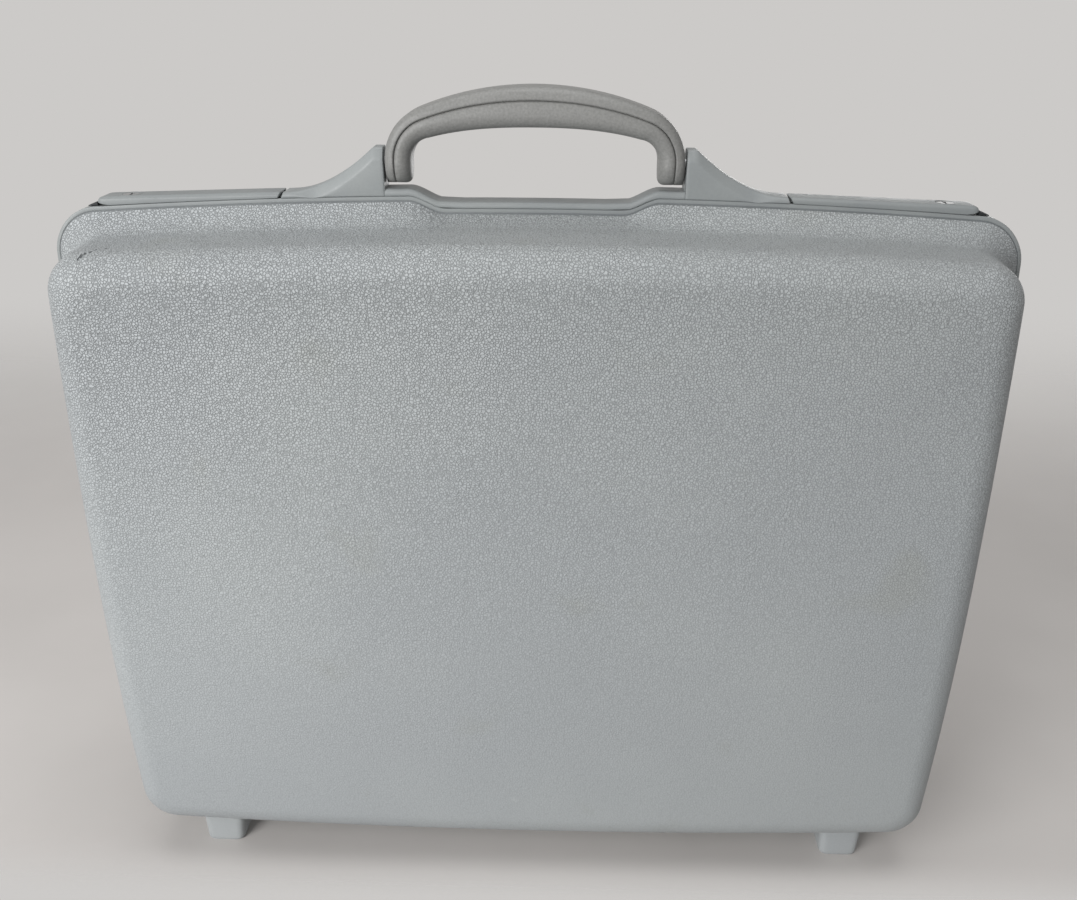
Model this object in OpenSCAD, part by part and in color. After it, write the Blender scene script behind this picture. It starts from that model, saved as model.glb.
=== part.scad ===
// Hard moulded attache case, standing on its hinge side with the handle up.
// Two crowned shells meet at a rim. The rear half carries the chassis with its
// towers, handle and latches, and the front half is the lid. All sizes in mm.
// The parting plane is Y = 0, the lid is on the -Y side, and the floor is Z = 0.

/* [Case] */
// Width of the rim
case_w = 450; // [400:5:500]
// Height of the rim outline, without the feet
case_h = 347; // [311:2:389]
// Thickness of the closed case, over both faces
case_d = 114; // [100:2:140]
// Height of the rim's lowest point above the floor
leg_h = 7; // [6.5:0.5:12]
// Corner radius of the rim
rim_r = 21.2; // [16:0.1:30]
// Wall of the moulded shells
wall = 2.6; // [2:0.1:3.2]
// How far the top edge falls from its middle to its ends
top_crown = 8.3; // [4:0.1:10]
// How far the side edges draw in at their top ends
side_crown = 3.7; // [2.5:0.1:7]
// How far the side edges draw in at their bottom ends
side_crown_low = 7.7; // [4:0.1:9]
// How far the bottom edge rises at its ends
bottom_crown = 7.2; // [3:0.1:8]

/* [Belly] */
// Step from the rim to the belly at the sides
belly_side_in = 12; // [9:0.1:14]
// Step from the rim to the belly at the top
belly_top_in = 12.3; // [10:0.5:16]
// Step from the rim to the belly at the bottom
belly_bottom_in = 15; // [11:0.5:16]
// Corner radius of the belly
belly_r = 17; // [15:0.5:28]
// Radius from the belly to the face
face_r = 16; // [12:1:20]
// Distance from the parting plane to the end of the step
step_d = 21; // [18:1:25]

/* [Rim] */
// Depth of each rim bead from the parting plane
bead_d = 6; // [5.5:0.5:8]
// Width of the rim bead that shows round the shell
bead_w = 2; // [1.4:0.1:2.2]
// Depth of the rim web that carries the shell's edge
web_d = 4.2; // [3.8:0.1:5]
// Height of the rim web, measured inwards from the outline
web_w = 9; // [8.6:0.1:10]
// Distance from the outline to the shell's edge
edge_in = 2.6; // [2.2:0.1:3]
// Running gap between parts that pass each other
gap = 0.3; // [0.2:0.05:0.4]

/* [Finger well] */
// Width of the well where it leaves the rim
well_top_w = 114; // [108:2:120]
// Width of the well's floor
well_bottom_w = 86; // [80:2:96]
// Depth of the well in the rim
well_depth = 5.6; // [5:0.1:6.5]
// Depth of the well in the top strip
strip_well_depth = 6; // [4:0.5:7]

/* [Chassis] */
// Thickness of the top strip above the rim
strip_h = 3.4; // [3.3:0.1:5]
// Thickness of the top strip where the latch levers begin
strip_end_h = 2.8; // [2.6:0.1:3.3]
// Half depth of the top strip and towers
strip_y = 6.9; // [6.7:0.1:9]
// X of the towers' inner faces
tower_x = 67.5; // [65:0.1:69]
// X where the towers run out into the strip
tower_end_x = 110; // [104:1:114]
// Height of the tower tops above the rim
tower_h = 20.6; // [20:0.1:25]
// Width of the flat at the tower top
tower_flat_w = 4.4; // [3:0.2:7]

/* [Handle] */
// Height of the handle's highest point above the rim
handle_h = 47; // [43:1:53]
// Height of the handle's pivot above the rim
pivot_h = 14; // [13.5:0.1:15]
// Gap between the handle and each tower
handle_side_gap = 0.8; // [0.4:0.1:1.2]
// Thickness of the handle at its middle
grip_t = 17.4; // [15:0.2:20]
// Thickness of the handle at its legs
leg_t = 12.2; // [10.5:0.1:13]
// Thickness of the outer cover at the middle
cover_t = 5.8; // [5:0.1:9]
// Thickness of the outer cover at the legs
cover_leg_t = 4.3; // [3.8:0.1:6]
// Radius of the rounded leg ends about the pivot
leg_end_r = 9.3; // [8.5:0.1:9.6]
// Half depth of the grip
grip_y = 10.5; // [9.5:0.1:12]
// Radius of the handle's shoulders
shoulder_r = 24; // [20:0.5:26]
// Radius of the handle's top
arch_r = 140; // [130:1:200]
// Radius of the handle's pins
handle_pin_r = 2.5; // [2:0.1:2.8]

/* [Latches] */
// X of each latch lever's pivot
latch_x = 116.6; // [115:0.2:120]
// Distance from the side of the case to the lever's outer tip
latch_end_in = 26; // [24:1:31]
// Height of the lever over the rim at its pivot
latch_h = 2.9; // [2.8:0.1:3.6]
// Height of the lever over the rim at its tip
latch_tip_h = 3.7; // [3.6:0.1:5]
// Half depth of the lever
latch_y = 6.6; // [6.4:0.1:8]
// Wall of the lever
latch_wall = 1.2; // [1.1:0.1:1.3]
// Radius of the latch pins
latch_pin_r = 0.6; // [0.5:0.05:0.7]
// Distance from the lever's tip to the middle of its key lock
lock_in = 14; // [12:1:19]
// Radius of the key lock
lock_r = 4; // [3:0.1:4.5]
// Place of the hook along the lever, as a share of its length
hook_share = 0.5; // [0.4:0.01:0.6]

/* [Hinges and feet] */
// Height of the hinge axis above the floor
hinge_z = 4.6; // [4.2:0.1:5]
// Distance from the side of the case to each hinge's middle
hinge_in = 110; // [90:1:135]
// Length of each hinge
hinge_l = 44; // [30:1:60]
// Radius of the hinge barrels
barrel_r = 2.3; // [2:0.1:2.4]
// Radius of the hinge pins
hinge_pin_r = 1.3; // [1:0.1:1.5]
// Distance from the side of the case to each foot's middle
foot_in = 54; // [45:1:70]
// Width of a foot where it meets the floor
foot_w = 20.5; // [14:0.5:28]
// Depth of a foot
foot_d = 21; // [16:1:24]

/* [Interior] */
// Thickness of the lining
lining_t = 1.2; // [0.8:0.1:1.6]
// Distance from each side of the case to the document pocket
pocket_side_in = 55; // [40:5:85]
// Distance from the top of the case to the document pocket
pocket_top_in = 102; // [72:2:142]
// Distance from the bottom of the case to the document pocket
pocket_low_in = 55; // [45:1:70]
// Depth of the document pocket
pocket_d = 10; // [8:1:14]
// Length of each lid stay between its pivot and its pin
stay_l = 100; // [98:1:104]
// Angle that the lid opens to
lid_angle = 95; // [80:1:95]

/* [Hidden] */
$fn = 48;
half_w = case_w / 2;
half_h = case_h / 2;
half_d = case_d / 2;
mid_z = leg_h + half_h;
rim_z = leg_h + case_h;
latch_end_x = half_w - latch_end_in;
lock_x = latch_end_x - lock_in;
hinge_x = half_w - hinge_in;
foot_x = half_w - foot_in;
pocket_w = case_w - 2 * pocket_side_in;
pocket_h = case_h - pocket_top_in - pocket_low_in;
pocket_z = leg_h + pocket_low_in;
tower_top = rim_z + tower_h;
handle_top = rim_z + handle_h;
pivot_z = rim_z + pivot_h;

shell_colour = [0.60, 0.64, 0.65];
trim_colour = [0.56, 0.59, 0.61];
handle_colour = [0.55, 0.55, 0.54];
steel_colour = [0.70, 0.71, 0.72];
fabric_colour = [0.23, 0.25, 0.28];

// Steps in each stretch of an outline ring
corner_steps = 6;
side_steps = 6;
bottom_steps = 8;
end_steps = 5;
well_steps = 5;
floor_steps = 2;
corner_ease = 0.4;
least_r = 6;
edge_back = 0.15;

function lerp(a, b, t) = a + (b - a) * t;
hook_x = lerp(latch_x, latch_end_x, hook_share);
function clamp01(t) = min(max(t, 0), 1);
function smooth(t) = let (c = clamp01(t)) c * c * (3 - 2 * c);
function spread(a, b, n) = [for (i = [0:n - 1]) lerp(a, b, i / n)];
function backwards(v) = [for (i = [len(v) - 1:-1:0]) v[i]];

// Share of the finger well's depth at x, from 0 on the rim to 1 on its floor
function well(x) = smooth((well_top_w / 2 - abs(x)) / ((well_top_w - well_bottom_w) / 2));

// Top of the rim at x, with the crown but without the well
function crown_z(x) = rim_z - top_crown * pow(x / half_w, 2);

// Slope of the crowned rim at x, in degrees
function crown_slope(x) = atan(2 * top_crown * x / pow(half_w, 2));

// Moves a point of a plain rounded rectangle to the crowned outline
function crowned(p, s) =
    let (u = p[0] / half_w, v = (p[1] - mid_z) / half_h)
    [
        p[0] - (v > 0 ? side_crown : side_crown_low) * v * v * pow(u, 3),
        p[1] - (v > 0 ? top_crown : bottom_crown) * v * u * u
            - (v > 0.5 ? (1 - s) * well_depth * well(p[0]) : 0)
    ];

// Points of one corner arc, without its two ends
function corner(cx, cz, r, from) =
    [
        for (i = [1:corner_steps - 1])
            let (a = from - 90 * i / corner_steps)
            [cx + r * cos(a), cz + r * sin(a)]
    ];

// X of the points along the top edge, closer together on the well's two ends
function top_xs(hx) = concat(
    spread(-hx, -well_top_w / 2, end_steps),
    spread(-well_top_w / 2, -well_bottom_w / 2, well_steps),
    spread(-well_bottom_w / 2, well_bottom_w / 2, floor_steps),
    spread(well_bottom_w / 2, well_top_w / 2, well_steps),
    spread(well_top_w / 2, hx, end_steps),
    [hx]
);

// Outline at share s of the step from the rim (0) to the belly (1), e further in
function ring(s, e) =
    let (
        hw = half_w - lerp(edge_in, belly_side_in, s) - e,
        zt = rim_z - lerp(edge_in, belly_top_in, s) - e,
        zb = leg_h + lerp(edge_in, belly_bottom_in, s) + e,
        r = max(lerp(rim_r - edge_in, belly_r, s) - (e < 0 ? e : corner_ease * e), least_r),
        hx = hw - r,
        raw = concat(
            [for (x = top_xs(hx)) [x, zt]],
            corner(hx, zt - r, r, 90),
            concat([for (z = spread(zt - r, zb + r, side_steps)) [hw, z]], [[hw, zb + r]]),
            corner(hx, zb + r, r, 0),
            concat([for (x = spread(hx, -hx, bottom_steps)) [x, zb]], [[-hx, zb]]),
            corner(-hx, zb + r, r, -90),
            concat([for (z = spread(zb + r, zt - r, side_steps)) [-hw, z]], [[-hw, zt - r]]),
            corner(-hx, zt - r, r, -180)
        )
    )
    [for (p = raw) crowned(p, s)];

// Solid through outline rings. A level is [distance from the parting plane, s, e].
// A closed one joins its last ring to its first, and an open one is capped.
module rings(levels, closed) {
    n = len(ring(0, 0));
    m = len(levels);
    points = [for (k = levels) for (p = ring(k[1], k[2])) [p[0], -k[0], p[1]]];
    spans = closed ? m : m - 1;
    sides = [
        for (k = [0:spans - 1]) for (i = [0:n - 1])
            let (a = k * n + i, b = k * n + (i + 1) % n)
            let (c = ((k + 1) % m) * n + i, d = ((k + 1) % m) * n + (i + 1) % n)
            each [[a, c, b], [b, c, d]]
    ];
    caps = closed ? [] : [
        [for (i = [0:n - 1]) i],
        [for (i = [n - 1:-1:0]) (m - 1) * n + i]
    ];
    polyhedron(points, concat(sides, caps), convexity = 6);
}

// Outer surface of a shell, from its edge to its face
step_power = 2.2;
belly_draft = 1;
step_y0 = bead_d + 0.4;
round_y = half_d - face_r;
function step_share(y) = 1 - pow(1 - clamp01((y - step_y0) / (step_d - step_y0)), step_power);
step_levels = [
    for (q = [0, 0.1, 0.22, 0.38, 0.59, 0.8, 1]) let (y = lerp(step_y0, step_d, q)) [y, step_share(y), 0]
];
round_levels = [
    for (a = [0:18:90]) [round_y + face_r * sin(a), 1, belly_draft + face_r * (1 - cos(a))]
];
outer_levels = concat(step_levels, round_levels);

// Distance inwards of a level at the top edge, used to find the wall's direction
function level_in(k) = lerp(edge_in, belly_top_in, k[1]) + k[2];

// Level i of the outer surface, moved t towards the inside along its normal
function offset_level(i, t) =
    let (
        last = len(outer_levels) - 1,
        a = outer_levels[max(i - 1, 0)],
        b = outer_levels[min(i + 1, last)],
        dy = i == last ? 0 : b[0] - a[0],
        di = i == last ? 1 : level_in(b) - level_in(a),
        l = norm([dy, di]),
        k = outer_levels[i]
    )
    [k[0] - t * di / l, k[1], k[2] + t * dy / l];

// Levels that the inner surfaces use, from the step to the face
inner_steps = [2, 3, 4, 6, 7, 9, 11, 12];
shell_lip = 4;
lining_gap = 0.3;
lining_lip = 0.9;
lining_y = web_d + 0.4;

module shell() {
    inside = concat([[web_d, 0, shell_lip]], [for (i = inner_steps) offset_level(i, wall)]);
    rings(concat(backwards(inside), [[web_d, 0, 0]], outer_levels), false);
}

module lining() {
    out_t = wall + lining_gap;
    in_t = out_t + lining_t;
    lip = shell_lip + lining_lip;
    outside = concat([[lining_y, 0, lip]], [for (i = inner_steps) offset_level(i, out_t)]);
    inside = concat([[lining_y, 0, lip + lining_t]], [for (i = inner_steps) offset_level(i, in_t)]);
    rings(concat(backwards(inside), outside), false);
}

// Section of a rim half as [distance from the parting plane, distance inwards]
function rim_levels(section) = [for (p = section) [p[0], 0, p[1] - edge_in]];
rim_soft = 0.5;
lip_y = 1.8;
lip_from = 7.1;
body_rim_section = [
    [edge_back, rim_soft], [edge_back + rim_soft, 0], [bead_d - rim_soft, 0], [bead_d, rim_soft],
    [bead_d, bead_w], [web_d, bead_w], [web_d, web_w], [-lip_y + rim_soft, web_w],
    [-lip_y, web_w - rim_soft], [-lip_y, lip_from + rim_soft], [-lip_y + rim_soft, lip_from],
    [edge_back, lip_from]
];
lid_rim_section = [
    [edge_back, rim_soft], [edge_back + rim_soft, 0], [bead_d - rim_soft, 0], [bead_d, rim_soft],
    [bead_d, bead_w], [web_d, bead_w], [web_d, web_w], [lip_y + 2 * gap, web_w],
    [lip_y + 2 * gap, lip_from - 2 * gap], [edge_back, lip_from - 2 * gap]
];

// Copies its children to both sides of the case
module both_sides() {
    children();
    mirror([1, 0, 0]) children();
}

// Places its children on the crowned rim at x, tilted with it
module on_rim(x) {
    translate([x, 0, crown_z(x)]) rotate([0, crown_slope(x), 0]) children();
}

module along_x(l, r) {
    rotate([0, 90, 0]) cylinder(h = l, r = r, center = true);
}

module along_y(l, r) {
    rotate([90, 0, 0]) cylinder(h = l, r = r, center = true);
}

// Screws that hold the chassis down through the rim
screw_tower_gap = 20.5;
screw_hook_gap = 6.8;
screw_xs = [tower_x + screw_tower_gap, hook_x - screw_hook_gap];
screw_y = 2.2;
screw_r = 1.2;
screw_head_r = 1.9;
screw_head_h = 1.2;
screw_over = 0.8;
fit = 0.05;

module screw_holes(r) {
    for (x = screw_xs) both_sides()
        translate([x, screw_y, crown_z(x) - well_depth * well(x) - web_w - 1]) cylinder(h = web_w + 3, r = r);
}

// Lowest line of the rim at x, and its slope in degrees
function rim_bottom(x) = leg_h + bottom_crown * pow(x / half_w, 2);
function bottom_slope(x) = -atan(2 * bottom_crown * x / pow(half_w, 2));

module body_shell() {
    color(shell_colour) mirror([0, 1, 0]) shell();
}

module lid_shell() {
    color(shell_colour) shell();
}

module body_frame() {
    color(trim_colour) difference() {
        mirror([0, 1, 0]) rings(rim_levels(body_rim_section), true);
        screw_holes(screw_r + fit);
    }
}

// Keepers lie flush in the top of the lid's rim
keeper_l = 16;
keeper_y0 = 0.8;
keeper_w = 3.8;
keeper_t = 1.2;
keeper_slot_l = 9;
keeper_slot_w = 1.8;

module keeper_seat(grow) {
    on_rim(hook_x)
        translate([-keeper_l / 2 - grow, -keeper_y0 - keeper_w - grow, -keeper_t])
            cube([keeper_l + 2 * grow, keeper_w + 2 * grow, keeper_t * 2]);
}

module lid_frame() {
    color(trim_colour) difference() {
        rings(rim_levels(lid_rim_section), true);
        both_sides() keeper_seat(0.1);
    }
}

module body_lining() {
    color(fabric_colour) mirror([0, 1, 0]) lining();
}

module lid_lining() {
    color(fabric_colour) lining();
}

// Chassis: one bar along X whose section follows the rim, the well and the towers
rim_gap = 0.3;
strip_bottom_well = strip_well_depth - 0.8;
strip_bevel = 1.1;
tower_bevel_y = 2.6;
tower_bevel_z = 5;
tower_power = 1.85;
strip_end_gap = 2.4;
strip_end_x = latch_x - strip_end_gap;
plate_end_in = 12.5;
plate_end_x = latch_end_x - plate_end_in;
neck_l = 3;
neck_end_x = latch_x + neck_l;
knuckle_y = 4;
plate_h = 1.1;
plate_clear = 0.6;
plate_y = latch_y - latch_wall - plate_clear;
jump = 0.3;

function strip_h_at(x) = lerp(strip_h, strip_end_h, clamp01((abs(x) - tower_x) / (tower_end_x - tower_x)));
function strip_top(x) = crown_z(x) + strip_h_at(x) - strip_well_depth * well(x);
function strip_bottom(x) = crown_z(x) + rim_gap - strip_bottom_well * well(x);
function tower_share(x) = clamp01((tower_end_x - x) / (tower_end_x - tower_x - tower_flat_w));
function tower_rise(x) = (tower_top - strip_top(tower_x + tower_flat_w)) * pow(tower_share(x), tower_power);

// Section of the chassis at x as [half depth, bottom, top, bevel depth, bevel height]
function chassis_station(x, kind) =
    kind == "plate" ? [x, plate_y, crown_z(x) + rim_gap, crown_z(x) + plate_h, 0.4, 0.4]
    : kind == "neck" ? [x, knuckle_y, crown_z(x) + rim_gap, crown_z(x) + plate_h, 0.1, 0.1]
    : kind == "strip" ? [x, strip_y, strip_bottom(x), strip_top(x), strip_bevel, strip_bevel]
    : let (q = smooth(3 * tower_share(x)))
      [x, strip_y, strip_bottom(x), min(strip_top(x) + tower_rise(x), tower_top),
        lerp(strip_bevel, tower_bevel_y, q), lerp(strip_bevel, tower_bevel_z, q)];

well_xs = concat([0], spread(well_bottom_w / 2, well_top_w / 2, 6), [well_top_w / 2]);
half_stations = concat(
    [for (x = well_xs) chassis_station(x, "strip")],
    [chassis_station(tower_x - jump, "strip")],
    [for (x = concat([tower_x], spread(tower_x + tower_flat_w, tower_end_x, 11), [tower_end_x]))
        chassis_station(x, "tower")],
    [chassis_station(strip_end_x, "strip")],
    [chassis_station(strip_end_x + jump, "neck"), chassis_station(neck_end_x, "neck")],
    [for (x = concat(spread(neck_end_x + jump, plate_end_x, 4), [plate_end_x])) chassis_station(x, "plate")]
);

function mirrored_station(k) = [-k[0], k[1], k[2], k[3], k[4], k[5]];
chassis_stations = concat(
    [for (k = backwards(half_stations)) if (k[0] > 0) mirrored_station(k)],
    half_stations
);

// Solid through a row of sections with the same number of points
module loft(rows) {
    n = len(rows[0]);
    m = len(rows);
    sides = [
        for (k = [0:m - 2]) for (i = [0:n - 1])
            let (a = k * n + i, b = k * n + (i + 1) % n, c = a + n, d = b + n)
            each [[a, b, c], [b, d, c]]
    ];
    caps = [[for (i = [n - 1:-1:0]) i], [for (i = [0:n - 1]) (m - 1) * n + i]];
    polyhedron([for (row = rows) each row], concat(sides, caps), convexity = 6);
}

// Bar along X with bevelled upper edges
module bar(stations) {
    loft([
        for (k = stations) [
            [k[0], -k[1], k[2]], [k[0], -k[1], k[3] - k[5]], [k[0], -k[1] + k[4], k[3]],
            [k[0], k[1] - k[4], k[3]], [k[0], k[1], k[3] - k[5]], [k[0], k[1], k[2]]
        ]
    ]);
}

// Latch pivots lie in the middle of the lever's height
nose_r = 1.3;
latch_pivot_z = crown_z(latch_x) + latch_h - nose_r;
handle_pin_in = 57;
handle_pin_out = 75;
notch_l = keeper_l + 2;

module chassis() {
    color(trim_colour) difference() {
        union() {
            bar(chassis_stations);
            both_sides() translate([latch_x, 0, latch_pivot_z]) along_y(2 * knuckle_y, nose_r);
        }
        both_sides() {
            translate([(tower_x + handle_pin_out) / 2, 0, pivot_z])
                along_x(handle_pin_out - tower_x + 2, handle_pin_r + fit / 2);
            translate([latch_x, 0, latch_pivot_z]) along_y(2 * strip_y + 2, latch_pin_r + fit);
            translate([hook_x - notch_l / 2, -plate_y - 1, crown_z(hook_x) - 2])
                cube([notch_l, plate_y + 1 - keeper_y0 + 0.2, 6]);
        }
        screw_holes(screw_r + fit);
    }
}

module chassis_screws() {
    color(steel_colour) for (x = screw_xs) both_sides() {
        z = crown_z(x) - well_depth * well(x) - web_w;
        translate([x, screw_y, z - 0.6]) cylinder(h = web_w + 0.6 + screw_over, r = screw_r);
        translate([x, screw_y, z - 0.6 - screw_head_h]) cylinder(h = screw_head_h, r = screw_head_r);
    }
}

// Handle: sections across a path of two legs, two shoulders and a shallow arch
handle_hw = tower_x - handle_side_gap;
shoulder_x = handle_hw - shoulder_r;
arch_z = handle_top - arch_r;
shoulder_z = arch_z + sqrt(pow(arch_r - shoulder_r, 2) - pow(shoulder_x, 2));
arch_from = atan2(shoulder_z - arch_z, shoulder_x);
cover_round = 5;
grip_round = 4;
grip_line = 0.25;

// A station is [outer point x, z, angle of the outward normal, half depth]
leg_stations = [
    for (a = [-76, -60, -42, -22, 0]) [handle_hw, pivot_z + leg_end_r * sin(a), 0, leg_end_r * cos(a)]
];
function handle_station(cx, cz, r, a) =
    [cx + r * cos(a), cz + r * sin(a), a, lerp(leg_end_r, grip_y, a / 90)];
shoulder_stations = [
    for (i = [0:8]) handle_station(shoulder_x, shoulder_z, shoulder_r, arch_from * i / 8)
];
arch_stations = [
    for (i = [1:7]) handle_station(0, arch_z, arch_r, lerp(arch_from, 90, i / 7))
];
half_handle = concat(leg_stations, shoulder_stations, arch_stations);
handle_stations = concat(
    half_handle,
    [for (i = [len(half_handle) - 2:-1:0]) let (k = half_handle[i]) [-k[0], k[1], 180 - k[2], k[3]]]
);

// Share of the swell at a, from 0 at the ends of the arch to 1 at its middle
function handle_share(a) = smooth((90 - abs(90 - a) - arch_from) / (90 - arch_from));
function total_at(a) = lerp(leg_t, grip_t, handle_share(a));
function cover_at(a) = lerp(cover_leg_t, cover_t, handle_share(a));

// Half circle steps that round one corner of a section
function round_corner(cn, cy, r, from) =
    [for (i = [0:3]) let (a = from + 30 * i) [cn + r * cos(a), cy + r * sin(a)]];

function cover_section(k) =
    let (d = k[3], t = cover_at(k[2]), r = min(cover_round, d * 0.9, t * 0.9))
    concat([[-t, d], [-t, -d]], round_corner(-r, -d + r, r, -90), round_corner(-r, d - r, r, 0));

function grip_section(k) =
    let (d = k[3], t = total_at(k[2]), r = min(grip_round, d * 0.9), c = cover_at(k[2]) + grip_line)
    concat([[-c, -d], [-c, d]], round_corner(-t + r, d - r, r, 90), round_corner(-t + r, -d + r, r, 180));

module handle_sweep(sections) {
    loft([
        for (k = [0:len(sections) - 1])
            let (st = handle_stations[k])
            [for (p = sections[k]) [st[0] + p[0] * cos(st[2]), p[1], st[1] + p[0] * sin(st[2])]]
    ]);
}

module pivot_bore() {
    translate([0, 0, pivot_z]) along_x(2 * half_w, handle_pin_r + fit);
}

module handle_cover() {
    color(handle_colour) difference() {
        handle_sweep([for (k = handle_stations) cover_section(k)]);
        pivot_bore();
    }
}

module handle_grip() {
    color(handle_colour) difference() {
        handle_sweep([for (k = handle_stations) grip_section(k)]);
        pivot_bore();
    }
}

module handle_pins() {
    color(steel_colour) both_sides()
        translate([(handle_pin_in + handle_pin_out) / 2, 0, pivot_z])
            along_x(handle_pin_out - handle_pin_in, handle_pin_r);
}

// Latch lever: a shallow cap over the chassis plate, hinged at its inner end
latch_clear = 0.5;
tip_l = 9;
tip_from = latch_end_x - tip_l;
tip_t = 1.3;
latch_bevel = 1.2;
latch_nose_y = knuckle_y + gap;
latch_skin = 0.8;
boss_r = lock_r + 2;
lever_top_in = crown_z(latch_x) + latch_h;
lever_top_out = crown_z(latch_end_x) + latch_tip_h;
tip_drop = 1.2;

function lever_top(x) =
    lerp(lever_top_in, lever_top_out, (x - latch_x) / (latch_end_x - latch_x))
        - tip_drop * pow(clamp01((x - tip_from) / (latch_end_x - tip_from)), 2);
function lever_bottom(x) =
    let (q = clamp01((x - tip_from) / (latch_end_x - tip_from)))
    lerp(crown_z(x) + latch_clear, lever_top(latch_end_x) - tip_t, q);

function lever_station(x) = [x, latch_y, lever_bottom(x), lever_top(x), latch_bevel, latch_bevel];

lever_xs = concat(spread(latch_x, tip_from, 6), spread(tip_from, latch_end_x, 4), [latch_end_x]);
pocket_xs = concat(spread(latch_x - 0.1, tip_from - 2, 5), [tip_from - 2]);

module latch() {
    pocket_y = latch_y - latch_wall;
    difference() {
        union() {
            difference() {
                bar([for (x = lever_xs) lever_station(x)]);
                bar([for (x = pocket_xs) [x, pocket_y, crown_z(x) - 1, lever_top(x) - latch_wall, 0.4, 0.4]]);
            }
            translate([lock_x, 0, crown_z(lock_x) + plate_h + 0.5])
                cylinder(h = lever_top(lock_x) - 0.3 - crown_z(lock_x) - plate_h - 0.5, r = boss_r);
            for (s = [-1, 1])
                translate([latch_x, s * (latch_y + latch_nose_y) / 2, latch_pivot_z])
                    along_y(latch_y - latch_nose_y, nose_r);
        }
        translate([latch_x - nose_r, -latch_nose_y, latch_pivot_z - 4])
            cube([2 * nose_r + 0.6, 2 * latch_nose_y, 8]);
        translate([latch_x, 0, latch_pivot_z]) along_y(2 * (latch_y - latch_skin), latch_pin_r + fit);
        translate([lock_x, 0, crown_z(lock_x)]) cylinder(h = 12, r = lock_r + fit);
    }
}

module latch_left() {
    color(trim_colour) mirror([1, 0, 0]) latch();
}

module latch_right() {
    color(trim_colour) latch();
}

module latch_pins() {
    color(steel_colour) both_sides()
        translate([latch_x, 0, latch_pivot_z]) along_y(2 * (latch_y - latch_skin - 0.2), latch_pin_r);
}

// Leaf springs on the chassis plate, bowed up towards the lever
spring_from = 7.4;
spring_screw_gap = 3;
spring_x0 = latch_x + spring_from;
spring_x1 = screw_xs[1] - spring_screw_gap;
spring_t = 0.2;
spring_y = 2.4;
spring_rise = 0.12;
spring_seat = 0.05;

module latch_springs() {
    function share(x) = (x - spring_x0) / (spring_x1 - spring_x0);
    function low(x) = crown_z(x) + plate_h + spring_seat + spring_rise * pow(share(x), 2);
    xs = concat(spread(spring_x0, spring_x1, 6), [spring_x1]);
    color(steel_colour) both_sides()
        bar([for (x = xs) [x, spring_y, low(x), low(x) + spring_t, 0.1, 0.1]]);
}

// Hook: a steel foot under the lever, ending just above the keeper's slot
hook_l = 7;
hook_t = 1;
hook_plate_t = 0.8;
hook_plate_y = 2.2;

module hook() {
    under = lever_top(hook_x) - latch_wall;
    toe = crown_z(hook_x) + gap + 0.15;
    y0 = -keeper_y0 - keeper_w / 2;
    plate_z = lever_top(hook_x + hook_l / 2) - latch_wall - 0.1 - hook_plate_t;
    translate([hook_x - hook_l / 2, y0 - hook_t / 2, plate_z]) cube([hook_l, hook_plate_y, hook_plate_t]);
    translate([hook_x - hook_l / 2, y0 - hook_t / 2, toe]) cube([hook_l, hook_t, under - 0.5 - toe]);
}

module hook_left() {
    color(steel_colour) mirror([1, 0, 0]) hook();
}

module hook_right() {
    color(steel_colour) hook();
}

// Key lock: a cylinder with a keyhole, let into the lever's top
lock_proud = 0.3;
key_w = 1.2;
key_l = 4.6;
key_d = 1.2;

module lock() {
    low = crown_z(lock_x) + plate_h + 0.6;
    high = lever_top(lock_x) + lock_proud;
    difference() {
        translate([lock_x, 0, low]) cylinder(h = high - low, r = lock_r);
        translate([lock_x - key_w / 2, -key_l / 2, high - key_d]) cube([key_w, key_l, key_d + 1]);
        translate([lock_x, key_l / 2 - 1, high - key_d]) cylinder(h = key_d + 1, r = 1);
    }
}

module lock_left() {
    color(steel_colour) mirror([1, 0, 0]) lock();
}

module lock_right() {
    color(steel_colour) lock();
}

module keepers() {
    color(steel_colour) both_sides() on_rim(hook_x) difference() {
        translate([-keeper_l / 2, -keeper_y0 - keeper_w, -keeper_t]) cube([keeper_l, keeper_w, keeper_t]);
        translate([-keeper_slot_l / 2, -keeper_y0 - (keeper_w + keeper_slot_w) / 2, -keeper_t - 1])
            cube([keeper_slot_l, keeper_slot_w, keeper_t + 2]);
    }
}

// Hinges: five knuckles each, three on the body and two on the lid. The leaves
// lie against the underside of the rim and follow its slope.
knuckles = 5;
knuckle_pitch = hinge_l / knuckles;
knuckle_gap = 0.3;
leaf_t = 1.2;
leaf_y0 = 0.4;
leaf_seat = 0.08;

module hinge_leaf(side, from) {
    both_sides() difference() {
        union() {
            translate([hinge_x, 0, rim_bottom(hinge_x) - leaf_seat]) rotate([0, bottom_slope(hinge_x), 0])
                translate([-hinge_l / 2, side > 0 ? leaf_y0 : -bead_d, -leaf_t])
                    cube([hinge_l, bead_d - leaf_y0, leaf_t]);
            for (i = [from:2:knuckles - 1]) {
                x = hinge_x + (i + 0.5) * knuckle_pitch - hinge_l / 2;
                l = knuckle_pitch - knuckle_gap;
                translate([x, 0, hinge_z]) along_x(l, barrel_r);
                translate([x - l / 2, side > 0 ? leaf_y0 : -barrel_r, hinge_z])
                    cube([l, barrel_r - leaf_y0, rim_bottom(x) - leaf_seat - leaf_t / 2 - hinge_z]);
            }
        }
        translate([hinge_x, 0, hinge_z]) along_x(hinge_l + 2, hinge_pin_r + fit);
    }
}

module body_hinge_leaves() {
    color(steel_colour) hinge_leaf(1, 0);
}

module lid_hinge_leaves() {
    color(steel_colour) hinge_leaf(-1, 1);
}

module hinge_pins() {
    color(steel_colour) both_sides() translate([hinge_x, 0, hinge_z]) along_x(hinge_l + 1, hinge_pin_r);
}

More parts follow.
